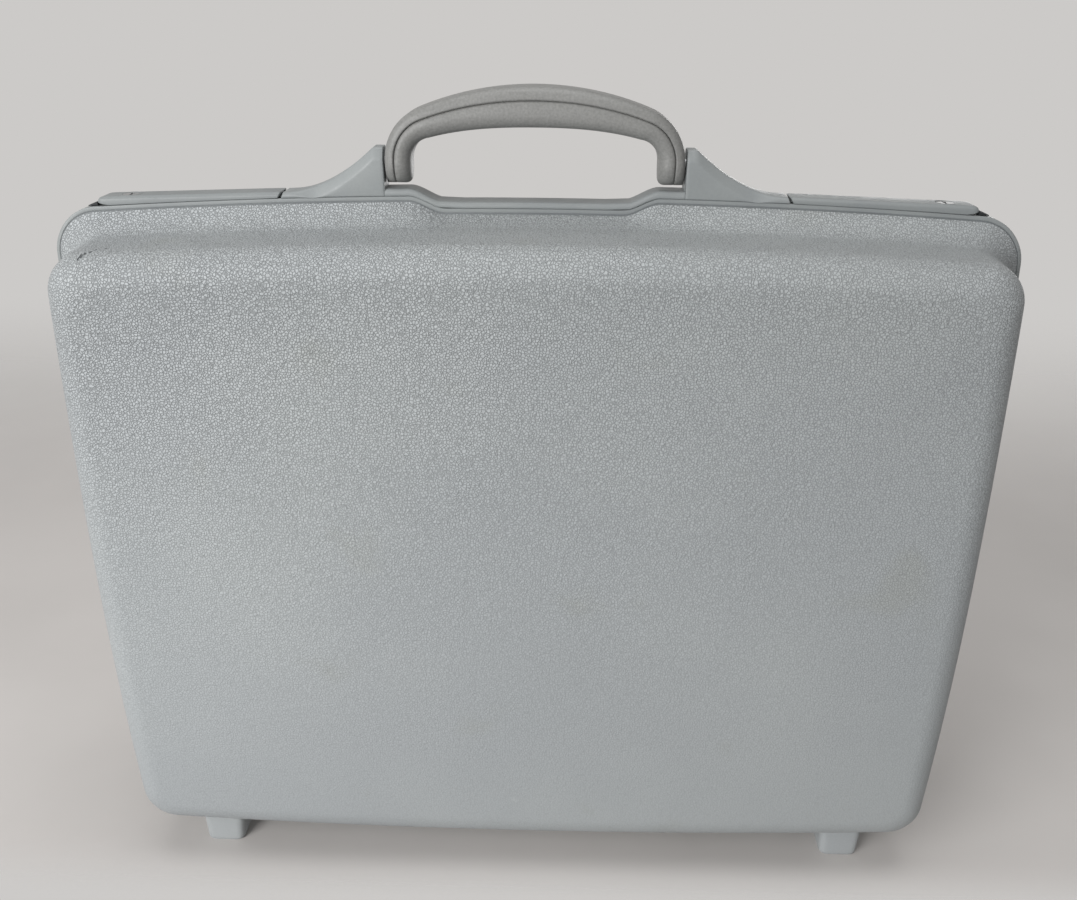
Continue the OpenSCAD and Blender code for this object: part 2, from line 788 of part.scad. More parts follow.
// Feet: tapered blocks that follow the underside of each half
foot_y0 = 15;
foot_taper = 1.6;
foot_gap = 0.1;

// Underside of the shell at x and distance y from the parting plane
function shell_bottom(x, y) =
    let (z = leg_h + lerp(edge_in, belly_bottom_in, step_share(y))
        + belly_draft * clamp01((y - step_d) / (round_y - step_d)))
    z - bottom_crown * (z - mid_z) / half_h * pow(x / half_w, 2);

function foot_section(y) =
    let (x0 = foot_x - foot_w / 2, x1 = foot_x + foot_w / 2)
    [
        [x0 - foot_taper, -y, shell_bottom(x0 - foot_taper, y) - foot_gap],
        [x1 + foot_taper, -y, shell_bottom(x1 + foot_taper, y) - foot_gap],
        [x1, -y, 0],
        [x0, -y, 0]
    ];

module foot() {
    loft([for (q = [0, 0.08, 0.18, 0.3, 0.65, 1]) foot_section(foot_y0 + foot_d * q)]);
}

module lid_feet() {
    color(trim_colour) both_sides() foot();
}

module body_feet() {
    color(trim_colour) mirror([0, 1, 0]) both_sides() foot();
}

// Document pocket on the lid's lining, open at its top
lining_in = half_d - wall - lining_gap - lining_t;
pocket_wall = 1.2;

module document_pocket() {
    color(fabric_colour) difference() {
        translate([-pocket_w / 2, -lining_in + gap, pocket_z]) cube([pocket_w, pocket_d, pocket_h]);
        translate([-pocket_w / 2 + pocket_wall, -lining_in + gap - 1, pocket_z + pocket_wall])
            cube([pocket_w - 2 * pocket_wall, pocket_d + 1 - pocket_wall, pocket_h]);
    }
}

// Lid stays: an arm on the lid whose pin runs in a curved slot on the body.
// The slot is the path that the pin takes while the arm turns at a steady rate.
stay_in = 28;
stay_x = half_w - stay_in;
stay_pivot = [-10, 45];
stay_tilt = 20;
stay_turn_ratio = 0.22;
stay_t = 1.6;
stay_w = 9;
stay_neck_w = 7;
stay_pin_r = 2;
slot_clear = 0.4;
track_wall = 4;
track_t = 2;
track_gap = 0.6;
slot_steps = 16;
post_seat = -0.6;

function stay_end(f) =
    let (a = stay_tilt + stay_turn_ratio * f)
    [
        stay_pivot[0] * cos(f) - stay_pivot[1] * sin(f) + stay_l * sin(a),
        hinge_z + stay_pivot[1] * cos(f) + stay_pivot[0] * sin(f) + stay_l * cos(a)
    ];

// Band of half width w round the slot's path, f from its first to its last angle
function slot_band(w, f0, f1) =
    let (
        n = slot_steps,
        pts = [for (i = [0:n]) stay_end(lerp(f0, f1, i / n))],
        dirs = [for (i = [0:n]) let (d = pts[min(i + 1, n)] - pts[max(i - 1, 0)]) d / norm(d)]
    )
    concat(
        [for (i = [0:slot_steps]) pts[i] + w * [dirs[i][1], -dirs[i][0]]],
        [for (i = [slot_steps:-1:0]) pts[i] - w * [dirs[i][1], -dirs[i][0]]]
    );

// Stands a drawing of Y and Z upright, t thick from x inwards to the middle
module upright(x, t) {
    translate([x - t, 0, 0]) rotate([90, 0, 90]) linear_extrude(t) children();
}

module stay_slot(w, f0, f1) {
    polygon(slot_band(w, f0, f1));
    for (f = [f0, f1]) translate(stay_end(f)) circle(w);
}

track_x = stay_x + track_t + track_gap;
post_r = 3;
post_out = 8.5;
eye_wall = 1.5;

// Inner surface of the lining at the side: X at height z and distance y
lining_in_levels = [for (i = inner_steps) offset_level(i, wall + lining_gap + lining_t)];
function level_half_w(k) = half_w - lerp(edge_in, belly_side_in, k[1]) - k[2];
function lining_half_w(y, i) =
    let (a = lining_in_levels[i], b = lining_in_levels[i + 1])
    y <= b[0] || i > len(lining_in_levels) - 3
        ? lerp(level_half_w(a), level_half_w(b), clamp01((y - a[0]) / (b[0] - a[0])))
        : lining_half_w(y, i + 1);
function wall_x(y, z) =
    let (w = lining_half_w(abs(y), 0), v = (z - mid_z) / half_h)
    w - (v > 0 ? side_crown : side_crown_low) * v * v * pow(w / half_w, 3);

// Post along X from x to the lining, centred on p in Y and Z
module post(x, p) {
    end = wall_x(p[0], p[1]) + post_seat;
    translate([(x + end) / 2, p[0], p[1]]) along_x(end - x, post_r);
}

// Centre of the post beyond one end of the slot
function slot_post(f, df) =
    let (d = stay_end(f) - stay_end(f + df))
    stay_end(f) + post_out * d / norm(d);

module stay_tracks() {
    ends = [slot_post(0, 4), slot_post(lid_angle, -4)];
    color(steel_colour) both_sides() {
        upright(track_x, track_t) difference() {
            union() {
                stay_slot(stay_pin_r + slot_clear + track_wall, 0, lid_angle);
                for (p = ends) translate(p) circle(post_r + eye_wall);
            }
            stay_slot(stay_pin_r + slot_clear, -1, lid_angle + 1);
        }
        for (p = ends) post(track_x - 0.2, p);
    }
}

// Brackets on the lid's sides that carry the stays' pivots
bracket_t = 1.6;
bracket_y = -30;
bracket_dz = [3, 17];
stay_head_r = 3.2;
stay_head_t = 1;

module stay_brackets() {
    a = [stay_pivot[0], hinge_z + stay_pivot[1]];
    ends = [for (dz = bracket_dz) [bracket_y, a[1] + dz]];
    color(steel_colour) both_sides() {
        upright(stay_x + gap + bracket_t, bracket_t) hull() {
            translate(a) circle(stay_w / 2);
            for (p = ends) translate(p) circle(post_r + eye_wall);
        }
        for (p = ends) post(stay_x + gap + bracket_t - 0.2, p);
        translate([stay_x - stay_t / 2 + gap / 2, a[0], a[1]]) along_x(stay_t + 3 * gap, stay_pin_r);
        translate([stay_x - stay_t - gap - stay_head_t / 2, a[0], a[1]]) along_x(stay_head_t, stay_head_r);
    }
}

module stay_arm() {
    a = [stay_pivot[0], hinge_z + stay_pivot[1]];
    b = stay_end(0);
    upright(stay_x, stay_t) difference() {
        union() {
            translate(a) circle(stay_w / 2);
            translate(b) circle(stay_w / 2);
            translate(a) rotate(90 - stay_tilt)
                translate([0, -stay_neck_w / 2]) square([stay_l, stay_neck_w]);
        }
        translate(a) circle(stay_pin_r + fit);
    }
    translate([stay_x + (track_t + track_gap) / 2 - fit, b[0], b[1]])
        along_x(track_t + track_gap + 2 * fit, stay_pin_r);
}

module stay_left() {
    color(steel_colour) mirror([1, 0, 0]) stay_arm();
}

module stay_right() {
    color(steel_colour) stay_arm();
}

body_shell();
body_frame();
body_lining();
body_feet();
body_hinge_leaves();
hinge_pins();
chassis();
chassis_screws();
handle_pins();
latch_pins();
latch_springs();
stay_tracks();
lid_shell();
lid_frame();
lid_lining();
lid_feet();
lid_hinge_leaves();
keepers();
document_pocket();
handle_cover();
handle_grip();
latch_left();
latch_right();
hook_left();
hook_right();
lock_left();
lock_right();
stay_left();
stay_right();
stay_brackets();
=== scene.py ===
import math

import bmesh
import bpy
from mathutils import Matrix, Vector


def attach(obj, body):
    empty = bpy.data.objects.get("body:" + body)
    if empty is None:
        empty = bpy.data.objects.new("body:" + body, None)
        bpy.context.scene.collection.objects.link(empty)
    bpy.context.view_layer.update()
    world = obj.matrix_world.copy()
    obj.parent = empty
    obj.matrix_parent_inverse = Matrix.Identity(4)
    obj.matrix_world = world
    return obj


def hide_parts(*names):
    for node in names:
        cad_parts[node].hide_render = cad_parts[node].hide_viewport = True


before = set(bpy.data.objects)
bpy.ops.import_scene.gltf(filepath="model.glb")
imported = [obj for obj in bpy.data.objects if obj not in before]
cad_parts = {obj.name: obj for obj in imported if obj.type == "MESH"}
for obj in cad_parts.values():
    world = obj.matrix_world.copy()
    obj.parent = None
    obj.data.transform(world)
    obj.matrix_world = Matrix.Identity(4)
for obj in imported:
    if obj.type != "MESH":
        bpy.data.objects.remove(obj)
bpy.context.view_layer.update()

# -------------------- sizes, in mm

MM = 0.001

# Case: half sizes, and how far the sides bow out towards their middles
HALF_W = 225.0
HALF_D = 57.0
LEG_H = 7.0
HALF_H = 173.5
MID_Z = LEG_H + HALF_H
RIM_Z = LEG_H + 2 * HALF_H
RIM_R = 21.2
TOP_CROWN = 8.3
SIDE_CROWN = 3.7
SIDE_CROWN_LOW = 7.7
BOTTOM_CROWN = 7.2

# Shells: the step from the rim to the belly, the belly and its domed face
WALL = 2.6
BELLY_SIDE_IN = 12.0
BELLY_TOP_IN = 12.3
BELLY_BOTTOM_IN = 15.0
BELLY_R = 17.0
BELLY_DRAFT = 1.0
FACE_R = 16.0
FACE_DOME = 0.9
FACE_REACH = 140.0
STEP_D = 21.0
STEP_POWER = 2.2
CORNER_EASE = 0.4
LEAST_R = 6.0

# Rim frames: the bead outside, the web inside it, the lip that closes into the lid
BEAD_D = 6.0
BEAD_W = 2.0
BEAD_ROUND = 0.45
BEAD_SIDE_ROUND = 1.5
BEAD_BLEND_Z = 9.0
WEB_D = 4.2
WEB_W = 9.0
EDGE_IN = 2.6
EDGE_BACK = 0.15
LIP_Y = 1.8
LIP_FROM = 7.1
GAP = 0.3
SHELL_LIP = 4.0
STEP_FROM = BEAD_D + 0.4
# The darker strip in the groove between bead and shell is painted shade: how far it is sunk, and
# how far it laps over bead and shell.
GROOVE_SHADE_SUNK = 0.25
GROOVE_SHADE_LAP = 0.2

# Linings
LINING_GAP = 0.3
LINING_T = 1.2
LINING_LIP = SHELL_LIP + 0.9
LINING_EDGE_Y = WEB_D + 0.4
LINING_IN = HALF_D - WALL - LINING_GAP - LINING_T

# Finger well in the rim under the handle
WELL_TOP_W = 114.0
WELL_BOTTOM_W = 80.0
WELL_DEPTH = 5.6
STRIP_WELL_DEPTH = 6.0

# Chassis: strip, towers, and the low plate under the levers
STRIP_H = 3.4
STRIP_END_H = 2.8
STRIP_Y = 6.9
STRIP_BEVEL = 1.1
SEAM = 0.06
RIM_GAP = 0.3
TOWER_X = 67.5
TOWER_END_X = 110.0
TOWER_TOP = 374.6
TOWER_FLAT_W = 4.4
TOWER_POWER = 1.85
TOWER_BEVEL_Y = 2.6
TOWER_BEVEL_Z = 5.0
PLATE_H = 1.1
PLATE_Y = 4.8
PLATE_END_X = 186.5
KNUCKLE_Y = 4.0
KNUCKLE_R = 0.9
SPLIT_BACK = 2.05
SPLIT_LEAN = -0.9
RAMP_GAP = 0.35
RAMP_END = 5.4
RAMP_H = 1.9
RAMP_END_H = 0.3
RAMP_Y = 5.4

# Handle
HANDLE_TOP = 401.0
PIVOT_Z = 368.0
HANDLE_HW = TOWER_X - 0.8
GRIP_T = 17.4
LEG_T = 11.7
COVER_T = 5.8
COVER_LEG_T = 4.3
LEG_END_R = 9.3
END_ROUND = 3.0
GRIP_Y = 10.5
SHOULDER_R = 24.0
ARCH_R = 140.0
SWELL_POWER = 0.65
GRIP_LINE = 0.2
GRIP_IN = 0.15

# Feet
FOOT_X = 171.0
FOOT_W = 20.5
FOOT_D = 21.0
FOOT_Y0 = 15.0
FOOT_TAPER = 1.6
FOOT_R = 4.5

# Latch levers, their hooks' notches and key locks
LATCH_X = 116.6
LATCH_END_X = 199.0
LATCH_H = 2.9
LATCH_TIP_H = 4.2
LATCH_Y = 6.6
LATCH_WALL = 1.2
LEVER_LEAN = -1.5
TIP_FROM = 193.5
TIP_T = 2.6
TIP_DROP = 0.3
NOSE_R = 1.3
HOOK_X = 157.8
KEEPER_L = 16.0
KEEPER_Y0 = 0.8
LOCK_X = 185.0
LOCK_R = 4.0
LOCK_PLAY = 0.12
BOSS_R = 5.2

# Document pocket
POCKET_W = 340.0
POCKET_H = 190.0
POCKET_D = 10.0
POCKET_Z = 62.0
STITCH = 3.2


def clamp01(t):
    """The number t, kept between 0 and 1."""
    return min(max(t, 0.0), 1.0)


def smooth(t):
    """Rises smoothly from 0 at t = 0 to 1 at t = 1."""
    c = clamp01(t)
    return c * c * (3 - 2 * c)


def lerp(a, b, t):
    """The value at share t of the way from a to b."""
    return a + (b - a) * t


# -------------------- outlines


def well(x):
    """Share of the finger well's depth at x, from 0 on the rim to 1 on its floor."""
    return smooth((WELL_TOP_W / 2 - abs(x)) / ((WELL_TOP_W - WELL_BOTTOM_W) / 2))


def crown_z(x):
    """Height of the crowned rim at x, without the well."""
    return RIM_Z - TOP_CROWN * (x / HALF_W) ** 2


def crowned(x, z, s):
    """A point of a plain rounded rectangle moved to the crowned outline."""
    u, v = x / HALF_W, (z - MID_Z) / HALF_H
    side = SIDE_CROWN if v > 0 else SIDE_CROWN_LOW
    rise = TOP_CROWN if v > 0 else BOTTOM_CROWN
    dip = (1 - s) * WELL_DEPTH * well(x) if v > 0.5 else 0.0
    return x - side * v * v * u**3, z - rise * v * u * u - dip


def arc(cx, cz, r, start, steps):
    """Points of a quarter turn clockwise from start degrees, without its two ends."""
    angles = [math.radians(start - 90 * i / steps) for i in range(1, steps)]
    return [(cx + r * math.cos(a), cz + r * math.sin(a)) for a in angles]


def spread(a, b, n):
    """n evenly spaced values from a towards b, without b."""
    return [lerp(a, b, i / n) for i in range(n)]


def ring(s, e):
    """Outline at share s of the step from the rim (0) to the belly (1), e further in."""
    hw = HALF_W - lerp(EDGE_IN, BELLY_SIDE_IN, s) - e
    top = RIM_Z - lerp(EDGE_IN, BELLY_TOP_IN, s) - e
    low = LEG_H + lerp(EDGE_IN, BELLY_BOTTOM_IN, s) + e
    ease = e if e < 0 else CORNER_EASE * e
    r = max(lerp(RIM_R - EDGE_IN, BELLY_R, s) - ease, LEAST_R)
    hx = hw - r
    wt, wb = WELL_TOP_W / 2, WELL_BOTTOM_W / 2
    xs = spread(-hx, -wt, 16) + spread(-wt, -wb, 12) + spread(-wb, wb, 12)
    xs += spread(wb, wt, 12) + spread(wt, hx, 16) + [hx]
    points = [(x, top) for x in xs]
    points += arc(hx, top - r, r, 90, 14)
    points += [(hw, z) for z in spread(top - r, low + r, 24) + [low + r]]
    points += arc(hx, low + r, r, 0, 14)
    points += [(x, low) for x in spread(hx, -hx, 40) + [-hx]]
    points += arc(-hx, low + r, r, -90, 14)
    points += [(-hw, z) for z in spread(low + r, top - r, 24) + [top - r]]
    points += arc(-hx, top - r, r, -180, 14)
    return [crowned(x, z, s) for x, z in points]


def ring_rows(levels):
    """Rows of 3D points for levels of (distance from the parting plane, s, e)."""
    return [[(x, -y, z) for x, z in ring(s, e)] for y, s, e in levels]


def step_share(y):
    """Share of the step from the rim to the belly at y from the parting plane."""
    return 1 - (1 - clamp01((y - STEP_FROM) / (STEP_D - STEP_FROM))) ** STEP_POWER


STEP_SHARES = [0, 0.04, 0.09, 0.15, 0.22, 0.3, 0.39, 0.49, 0.6, 0.72, 0.85, 1]
ROUND_Y = HALF_D - FACE_R
STEP_LEVELS = [
    (y, step_share(y), 0.0) for y in [lerp(STEP_FROM, STEP_D, q) for q in STEP_SHARES]
]
SIDE_LEVELS = [(lerp(STEP_D, ROUND_Y, t), 1.0, BELLY_DRAFT * t) for t in (0.33, 0.67)]
LEVELS_UNDER_LIP = 4


def round_levels(depth):
    """The rounding from the belly to the face, ending depth from the parting plane."""
    angles = [math.radians(a) for a in range(0, 91, 6)]
    return [
        (ROUND_Y + (depth - ROUND_Y) * math.sin(a), 1.0, BELLY_DRAFT + FACE_R * (1 - math.cos(a)))
        for a in angles
    ]


OUTER_LEVELS = STEP_LEVELS + SIDE_LEVELS + round_levels(HALF_D - FACE_DOME)


def level_in(level):
    """Distance inwards of a level at the top edge."""
    return lerp(EDGE_IN, BELLY_TOP_IN, level[1]) + level[2]


def offset_levels(t):
    """The outer levels past the lip, moved t inwards along their normals."""
    moved = []
    last = len(OUTER_LEVELS) - 1
    for i in range(LEVELS_UNDER_LIP, last + 1):
        a, b = OUTER_LEVELS[i - 1], OUTER_LEVELS[min(i + 1, last)]
        dy, di = b[0] - a[0], level_in(b) - level_in(a)
        if i == last:
            dy, di = 0.0, 1.0
        length = math.hypot(dy, di)
        y, s, e = OUTER_LEVELS[i]
        moved.append((y - t * di / length, s, e + t * dy / length))
    return moved


# -------------------- mesh tools


SHARP_ANGLE = 35
FINE_SHARP_ANGLE = 32
MERGE_DISTANCE = 1e-6
CYLINDER_SIDES = 32


def finish_mesh(name, mesh, angle=SHARP_ANGLE):
    """Outward normals, smooth shading with sharp edges over angle, and an object."""
    bm = bmesh.new()
    bm.from_mesh(mesh)
    bmesh.ops.remove_doubles(bm, verts=bm.verts, dist=MERGE_DISTANCE)
    bmesh.ops.recalc_face_normals(bm, faces=bm.faces)
    bm.to_mesh(mesh)
    bm.free()
    mesh.shade_smooth()
    mesh.set_sharp_from_angle(angle=math.radians(angle))
    obj = bpy.data.objects.new(name, mesh)
    bpy.context.scene.collection.objects.link(obj)
    return obj


def skin(name, rows, closed=False, mirror_y=False, angle=SHARP_ANGLE):
    """A closed solid through rows of points in mm: rings in a loop, or capped ends."""
    n, m = len(rows[0]), len(rows)
    sign = -1 if mirror_y else 1
    verts = [(x * MM, sign * y * MM, z * MM) for row in rows for x, y, z in row]
    faces = []
    for k in range(m if closed else m - 1):
        for i in range(n):
            a, b = k * n + i, k * n + (i + 1) % n
            c, d = ((k + 1) % m) * n + i, ((k + 1) % m) * n + (i + 1) % n
            faces.append((a, b, d, c))
    if not closed:
        faces.append(tuple(range(n)))
        faces.append(tuple((m - 1) * n + i for i in range(n)))
    mesh = bpy.data.meshes.new(name)
    mesh.from_pydata(verts, [], faces)
    return finish_mesh(name, mesh, angle)


def rounded(section, r, steps=3, larger=None):
    """A closed 2D section with each corner rounded by up to r, or by its own in larger."""
    out = []
    count = len(section)
    for i, p in enumerate(section):
        p = Vector(p)
        before, after = Vector(section[i - 1]) - p, Vector(section[(i + 1) % count]) - p
        own = (larger or {}).get(i, r)
        limit = 0.75 if own > r else 0.45
        a = p + before.normalized() * min(own, limit * before.length)
        b = p + after.normalized() * min(own, limit * after.length)
        for k in range(steps + 1):
            t = k / steps
            out.append(tuple(a * (1 - t) ** 2 + p * 2 * t * (1 - t) + b * t * t))
    return out


def cylinder_rows(x, y, z, r, length, axis, chamfer=0.15):
    """Rows of a chamfered cylinder centred on a point, along axis y or z."""
    rows = []
    for at, radius in (
        (-length / 2, r - chamfer), (-length / 2 + chamfer, r),
        (length / 2 - chamfer, r), (length / 2, r - chamfer),
    ):
        row = []
        for k in range(CYLINDER_SIDES):
            a = 2 * math.pi * k / CYLINDER_SIDES
            u, v = radius * math.cos(a), radius * math.sin(a)
            row.append((x + u, y + at, z + v) if axis == "y" else (x + u, y + v, z + at))
        rows.append(row)
    return rows


def combine(obj, other, operation):
    """Applies a boolean with other to obj and deletes other."""
    mod = obj.modifiers.new("combine", "BOOLEAN")
    mod.operation = operation
    mod.object = other
    mod.solver = "EXACT"
    apply_modifiers(obj)
    mesh = other.data
    bpy.data.objects.remove(other)
    bpy.data.meshes.remove(mesh)


def apply_modifiers(obj):
    """Replaces a piece's mesh by what its modifiers make of it."""
    graph = bpy.context.evaluated_depsgraph_get()
    graph.update()
    mesh = bpy.data.meshes.new_from_object(obj.evaluated_get(graph), depsgraph=graph)
    obj.modifiers.clear()
    old = obj.data
    obj.data = mesh
    bpy.data.meshes.remove(old)


def soften(obj, width):
    """Rounds the sharp edges of a piece by width in mm."""
    mod = obj.modifiers.new("soften", "BEVEL")
    mod.width = width * MM
    mod.segments = 3
    mod.limit_method = "ANGLE"
    mod.angle_limit = math.radians(FINE_SHARP_ANGLE)
    mod.harden_normals = True


def join(name, pieces):
    """One object out of several."""
    bm = bmesh.new()
    for piece in pieces:
        bm.from_mesh(piece.data)
    mesh = bpy.data.meshes.new(name)
    bm.to_mesh(mesh)
    bm.free()
    for piece in pieces:
        bpy.data.objects.remove(piece)
    return finish_mesh(name, mesh)


# -------------------- materials


class Paint:
    """A procedural material built around one Principled shader."""

    def __init__(self, name):
        self.material = bpy.data.materials.new(name)
        self.material.use_nodes = True
        self.tree = self.material.node_tree
        self.shader = self.tree.nodes["Principled BSDF"]
        self.place = self.node("ShaderNodeTexCoord").outputs["Object"]
        self.bump = None

    def node(self, kind, **settings):
        """A new node with its settings."""
        made = self.tree.nodes.new(kind)
        for key, value in settings.items():
            setattr(made, key, value)
        return made

    def link(self, source, target):
        self.tree.links.new(source, target)

    def noise(self, scale, detail, vector=None):
        """Noise from 0 to 1 over object coordinates, or over vector."""
        tex = self.node("ShaderNodeTexNoise")
        tex.inputs["Scale"].default_value = scale
        tex.inputs["Detail"].default_value = detail
        self.link(vector or self.place, tex.inputs["Vector"])
        return tex.outputs["Fac"]

    def bent(self, scale, amount):
        """Object coordinates pushed about by noise, amount in metres."""
        tex = self.node("ShaderNodeTexNoise")
        tex.inputs["Scale"].default_value = scale
        self.link(self.place, tex.inputs["Vector"])
        shift = self.node("ShaderNodeVectorMath", operation="MULTIPLY_ADD")
        self.link(tex.outputs["Color"], shift.inputs[0])
        shift.inputs[1].default_value = (amount, amount, amount)
        self.link(self.place, shift.inputs[2])
        return shift.outputs["Vector"]

    def cells(self, scale, vector, uneven):
        """Distance from the nearest border of cells that are uneven by a share."""
        tex = self.node("ShaderNodeTexVoronoi", feature="DISTANCE_TO_EDGE")
        tex.inputs["Randomness"].default_value = uneven
        tex.inputs["Scale"].default_value = scale
        self.link(vector, tex.inputs["Vector"])
        return tex.outputs["Distance"]

    def remap(self, value, low, high, to_low=0.0, to_high=1.0):
        """Moves value smoothly from the range low to high into to_low to to_high."""
        tex = self.node("ShaderNodeMapRange", interpolation_type="SMOOTHSTEP")
        keys = ("From Min", "From Max", "To Min", "To Max")
        for key, number in zip(keys, (low, high, to_low, to_high)):
            tex.inputs[key].default_value = number
        self.link(value, tex.inputs["Value"])
        return tex.outputs["Result"]

    def math(self, operation, *values):
        """The result of an operation on values, each a number or an output."""
        tex = self.node("ShaderNodeMath", operation=operation)
        for socket, value in zip(tex.inputs, values):
            if isinstance(value, (int, float)):
                socket.default_value = value
            else:
                self.link(value, socket)
        return tex.outputs["Value"]

    def mix(self, share, a, b):
        """The colour at share of the way from a to b, each a colour tuple or an output."""
        tex = self.node("ShaderNodeMix", data_type="RGBA")
        self.link(share, tex.inputs["Factor"])
        for socket, value in ((tex.inputs[6], a), (tex.inputs[7], b)):
            if isinstance(value, tuple):
                socket.default_value = (*value, 1.0)
            else:
                self.link(value, socket)
        return tex.outputs[2]

    def scaled(self, colour, factor):
        """A colour output made lighter or darker by the output factor."""
        tex = self.node("ShaderNodeVectorMath", operation="SCALE")
        self.link(colour, tex.inputs[0])
        self.link(factor, tex.inputs["Scale"])
        return tex.outputs["Vector"]

    def split_place(self, vector=None):
        """The X, Y and Z outputs of object coordinates, or of vector."""
        split = self.node("ShaderNodeSeparateXYZ")
        self.link(vector or self.place, split.inputs["Vector"])
        return split.outputs

    def relief(self, height, depth, strength=1.0):
        """Adds a bump of depth in mm on top of those before it."""
        bump = self.node("ShaderNodeBump")
        bump.inputs["Strength"].default_value = strength
        bump.inputs["Distance"].default_value = depth * MM
        self.link(height, bump.inputs["Height"])
        if self.bump is not None:
            self.link(self.bump, bump.inputs["Normal"])
        self.bump = bump.outputs["Normal"]
        self.link(self.bump, self.shader.inputs["Normal"])

    def colour(self, output):
        self.link(output, self.shader.inputs["Base Color"])

    def rough(self, value):
        """Roughness, a number or an output."""
        if isinstance(value, (int, float)):
            self.shader.inputs["Roughness"].default_value = value
        else:
            self.link(value, self.shader.inputs["Roughness"])


def tone(r, g, b):
    """A linear colour from 0 to 255 screen values."""
    return tuple(((v / 255 + 0.055) / 1.055) ** 2.4 if v > 10 else v / 3294 for v in (r, g, b))


SPECULAR = 0.45
SHELL_LIGHT = (170, 174, 175)
SHELL_DARK = (164, 168, 170)
STAIN = (154, 156, 149)
RUB = (184, 188, 188)
# Painted shade: a short row of dark marks in the crease at the lid's upper left corner.
CREASE_SHADE = (70, 74, 76)
CREASE_SHADE_MARKS = (
    (-192.3, -48.2, 333.1, 0.6),
    (-191.7, -46.7, 333.9, 1.0),
    (-190.6, -44.6, 334.6, 0.75),
    (-188.7, -43.2, 335.0, 0.7),
    (-187.6, -40.5, 335.3, 0.6),
    (-183.8, -38.9, 335.6, 0.5),
)
CREASE_SHADE_SQUEEZE = (1, 0.5, 0.25)


def shell_paint():
    """Moulded plastic with a fine leather grain, faint stains, and painted light and shade: in the
    grain's creases, across the face, and a short dark row at the upper left corner.
    """
    paint = Paint("shell_grained_plastic")
    bent = paint.bent(420, 0.0016)
    pebble = paint.remap(paint.cells(800, bent, 0.9), 0.01, 0.17)
    folds = paint.remap(paint.noise(560, 2, bent), 0.4, 0.6)
    fine = paint.noise(1700, 2, bent)
    place = paint.split_place()
    depth = relief_and_shade_depth(paint, place)
    patches = paint.remap(paint.noise(7, 3), 0.35, 0.68)
    worn = soiled(paint, paint.mix(patches, tone(*SHELL_DARK), tone(*SHELL_LIGHT)))
    # The grain's creases are drawn darker: painted shade, deepest where the light grazes.
    shade = paint.math("MULTIPLY", paint.remap(pebble, 0.0, 0.9, -0.3, 0.07), depth)
    # Painted light and shade across the shell: palest high on the face, darker under the rim and to
    # the right.
    grain_with_painted_light = paint.scaled(worn, paint.math("ADD", shade, painted_light_and_shade(paint, place)))
    # The short dark row at the upper left corner is painted shade, drawn over the grain.
    paint.colour(paint.mix(painted_crease_shade(paint), grain_with_painted_light, tone(*CREASE_SHADE)))
    paint.rough(paint.remap(paint.noise(60, 4), 0.3, 0.7, 0.5, 0.6))
    height = paint.math("ADD", pebble, paint.math("MULTIPLY", folds, 0.6))
    height = paint.math("ADD", height, paint.math("MULTIPLY", fine, 0.25))
    paint.relief(paint.math("MULTIPLY", height, depth), 0.2)
    paint.shader.inputs["Specular IOR Level"].default_value = SPECULAR
    return paint.material


def relief_and_shade_depth(paint, place):
    """Depth of the grain's relief and of the painted shade in its creases: most at the upper left,
    where the light grazes, and least at the lower right.
    """
    upwards = paint.remap(place["Z"], 0.03, 0.33, 0.3, 1.15)
    return paint.math("MULTIPLY", upwards, paint.remap(place["X"], -0.22, 0.22, 1.1, 0.75))


def painted_light_and_shade(paint, place):
    """Factor on the shell's colour, painted light and shade: palest high on the face, where the
    light falls, darker under the rim and towards the right, away from the light.
    """
    factor = paint.remap(place["Z"], 0.04, 0.22, 0.975, 1.055)
    factor = paint.math("MULTIPLY", factor, paint.remap(place["Z"], 0.24, 0.33, 1.0, 0.94))
    return paint.math("MULTIPLY", factor, paint.remap(place["X"], -0.23, 0.22, 1.03, 0.9))


def soiled(paint, colour):
    """The colour with faint broad stains and small pale rubs."""
    stains = paint.math("MULTIPLY", paint.remap(paint.noise(19, 5), 0.6, 0.74), 0.3)
    stained = paint.mix(stains, colour, tone(*STAIN))
    rubs = paint.math("MULTIPLY", paint.remap(paint.noise(70, 6), 0.68, 0.76), 0.3)
    return paint.mix(rubs, stained, tone(*RUB))


def painted_crease_shade(paint):
    """Share of the row of short dark marks at the lid's upper left corner: painted shade in the
    crease there.

    The table of marks gives each mark's place and size in mm, and the squeeze how it is drawn out.
    """
    flat = paint.node("ShaderNodeMapping")
    flat.inputs["Scale"].default_value = CREASE_SHADE_SQUEEZE
    paint.link(paint.place, flat.inputs["Vector"])
    marks = 0.0
    for *place, r in CREASE_SHADE_MARKS:
        near = paint.node("ShaderNodeVectorMath", operation="DISTANCE")
        paint.link(flat.outputs["Vector"], near.inputs[0])
        near.inputs[1].default_value = [k * v * MM for k, v in zip(CREASE_SHADE_SQUEEZE, place)]
        mark = paint.remap(near.outputs["Value"], 0.5 * r * MM, 1.2 * r * MM, 1.0, 0.0)
        marks = paint.math("MAXIMUM", marks, mark)
    return paint.math("MULTIPLY", marks, paint.remap(paint.noise(900, 2), 0.3, 0.5))


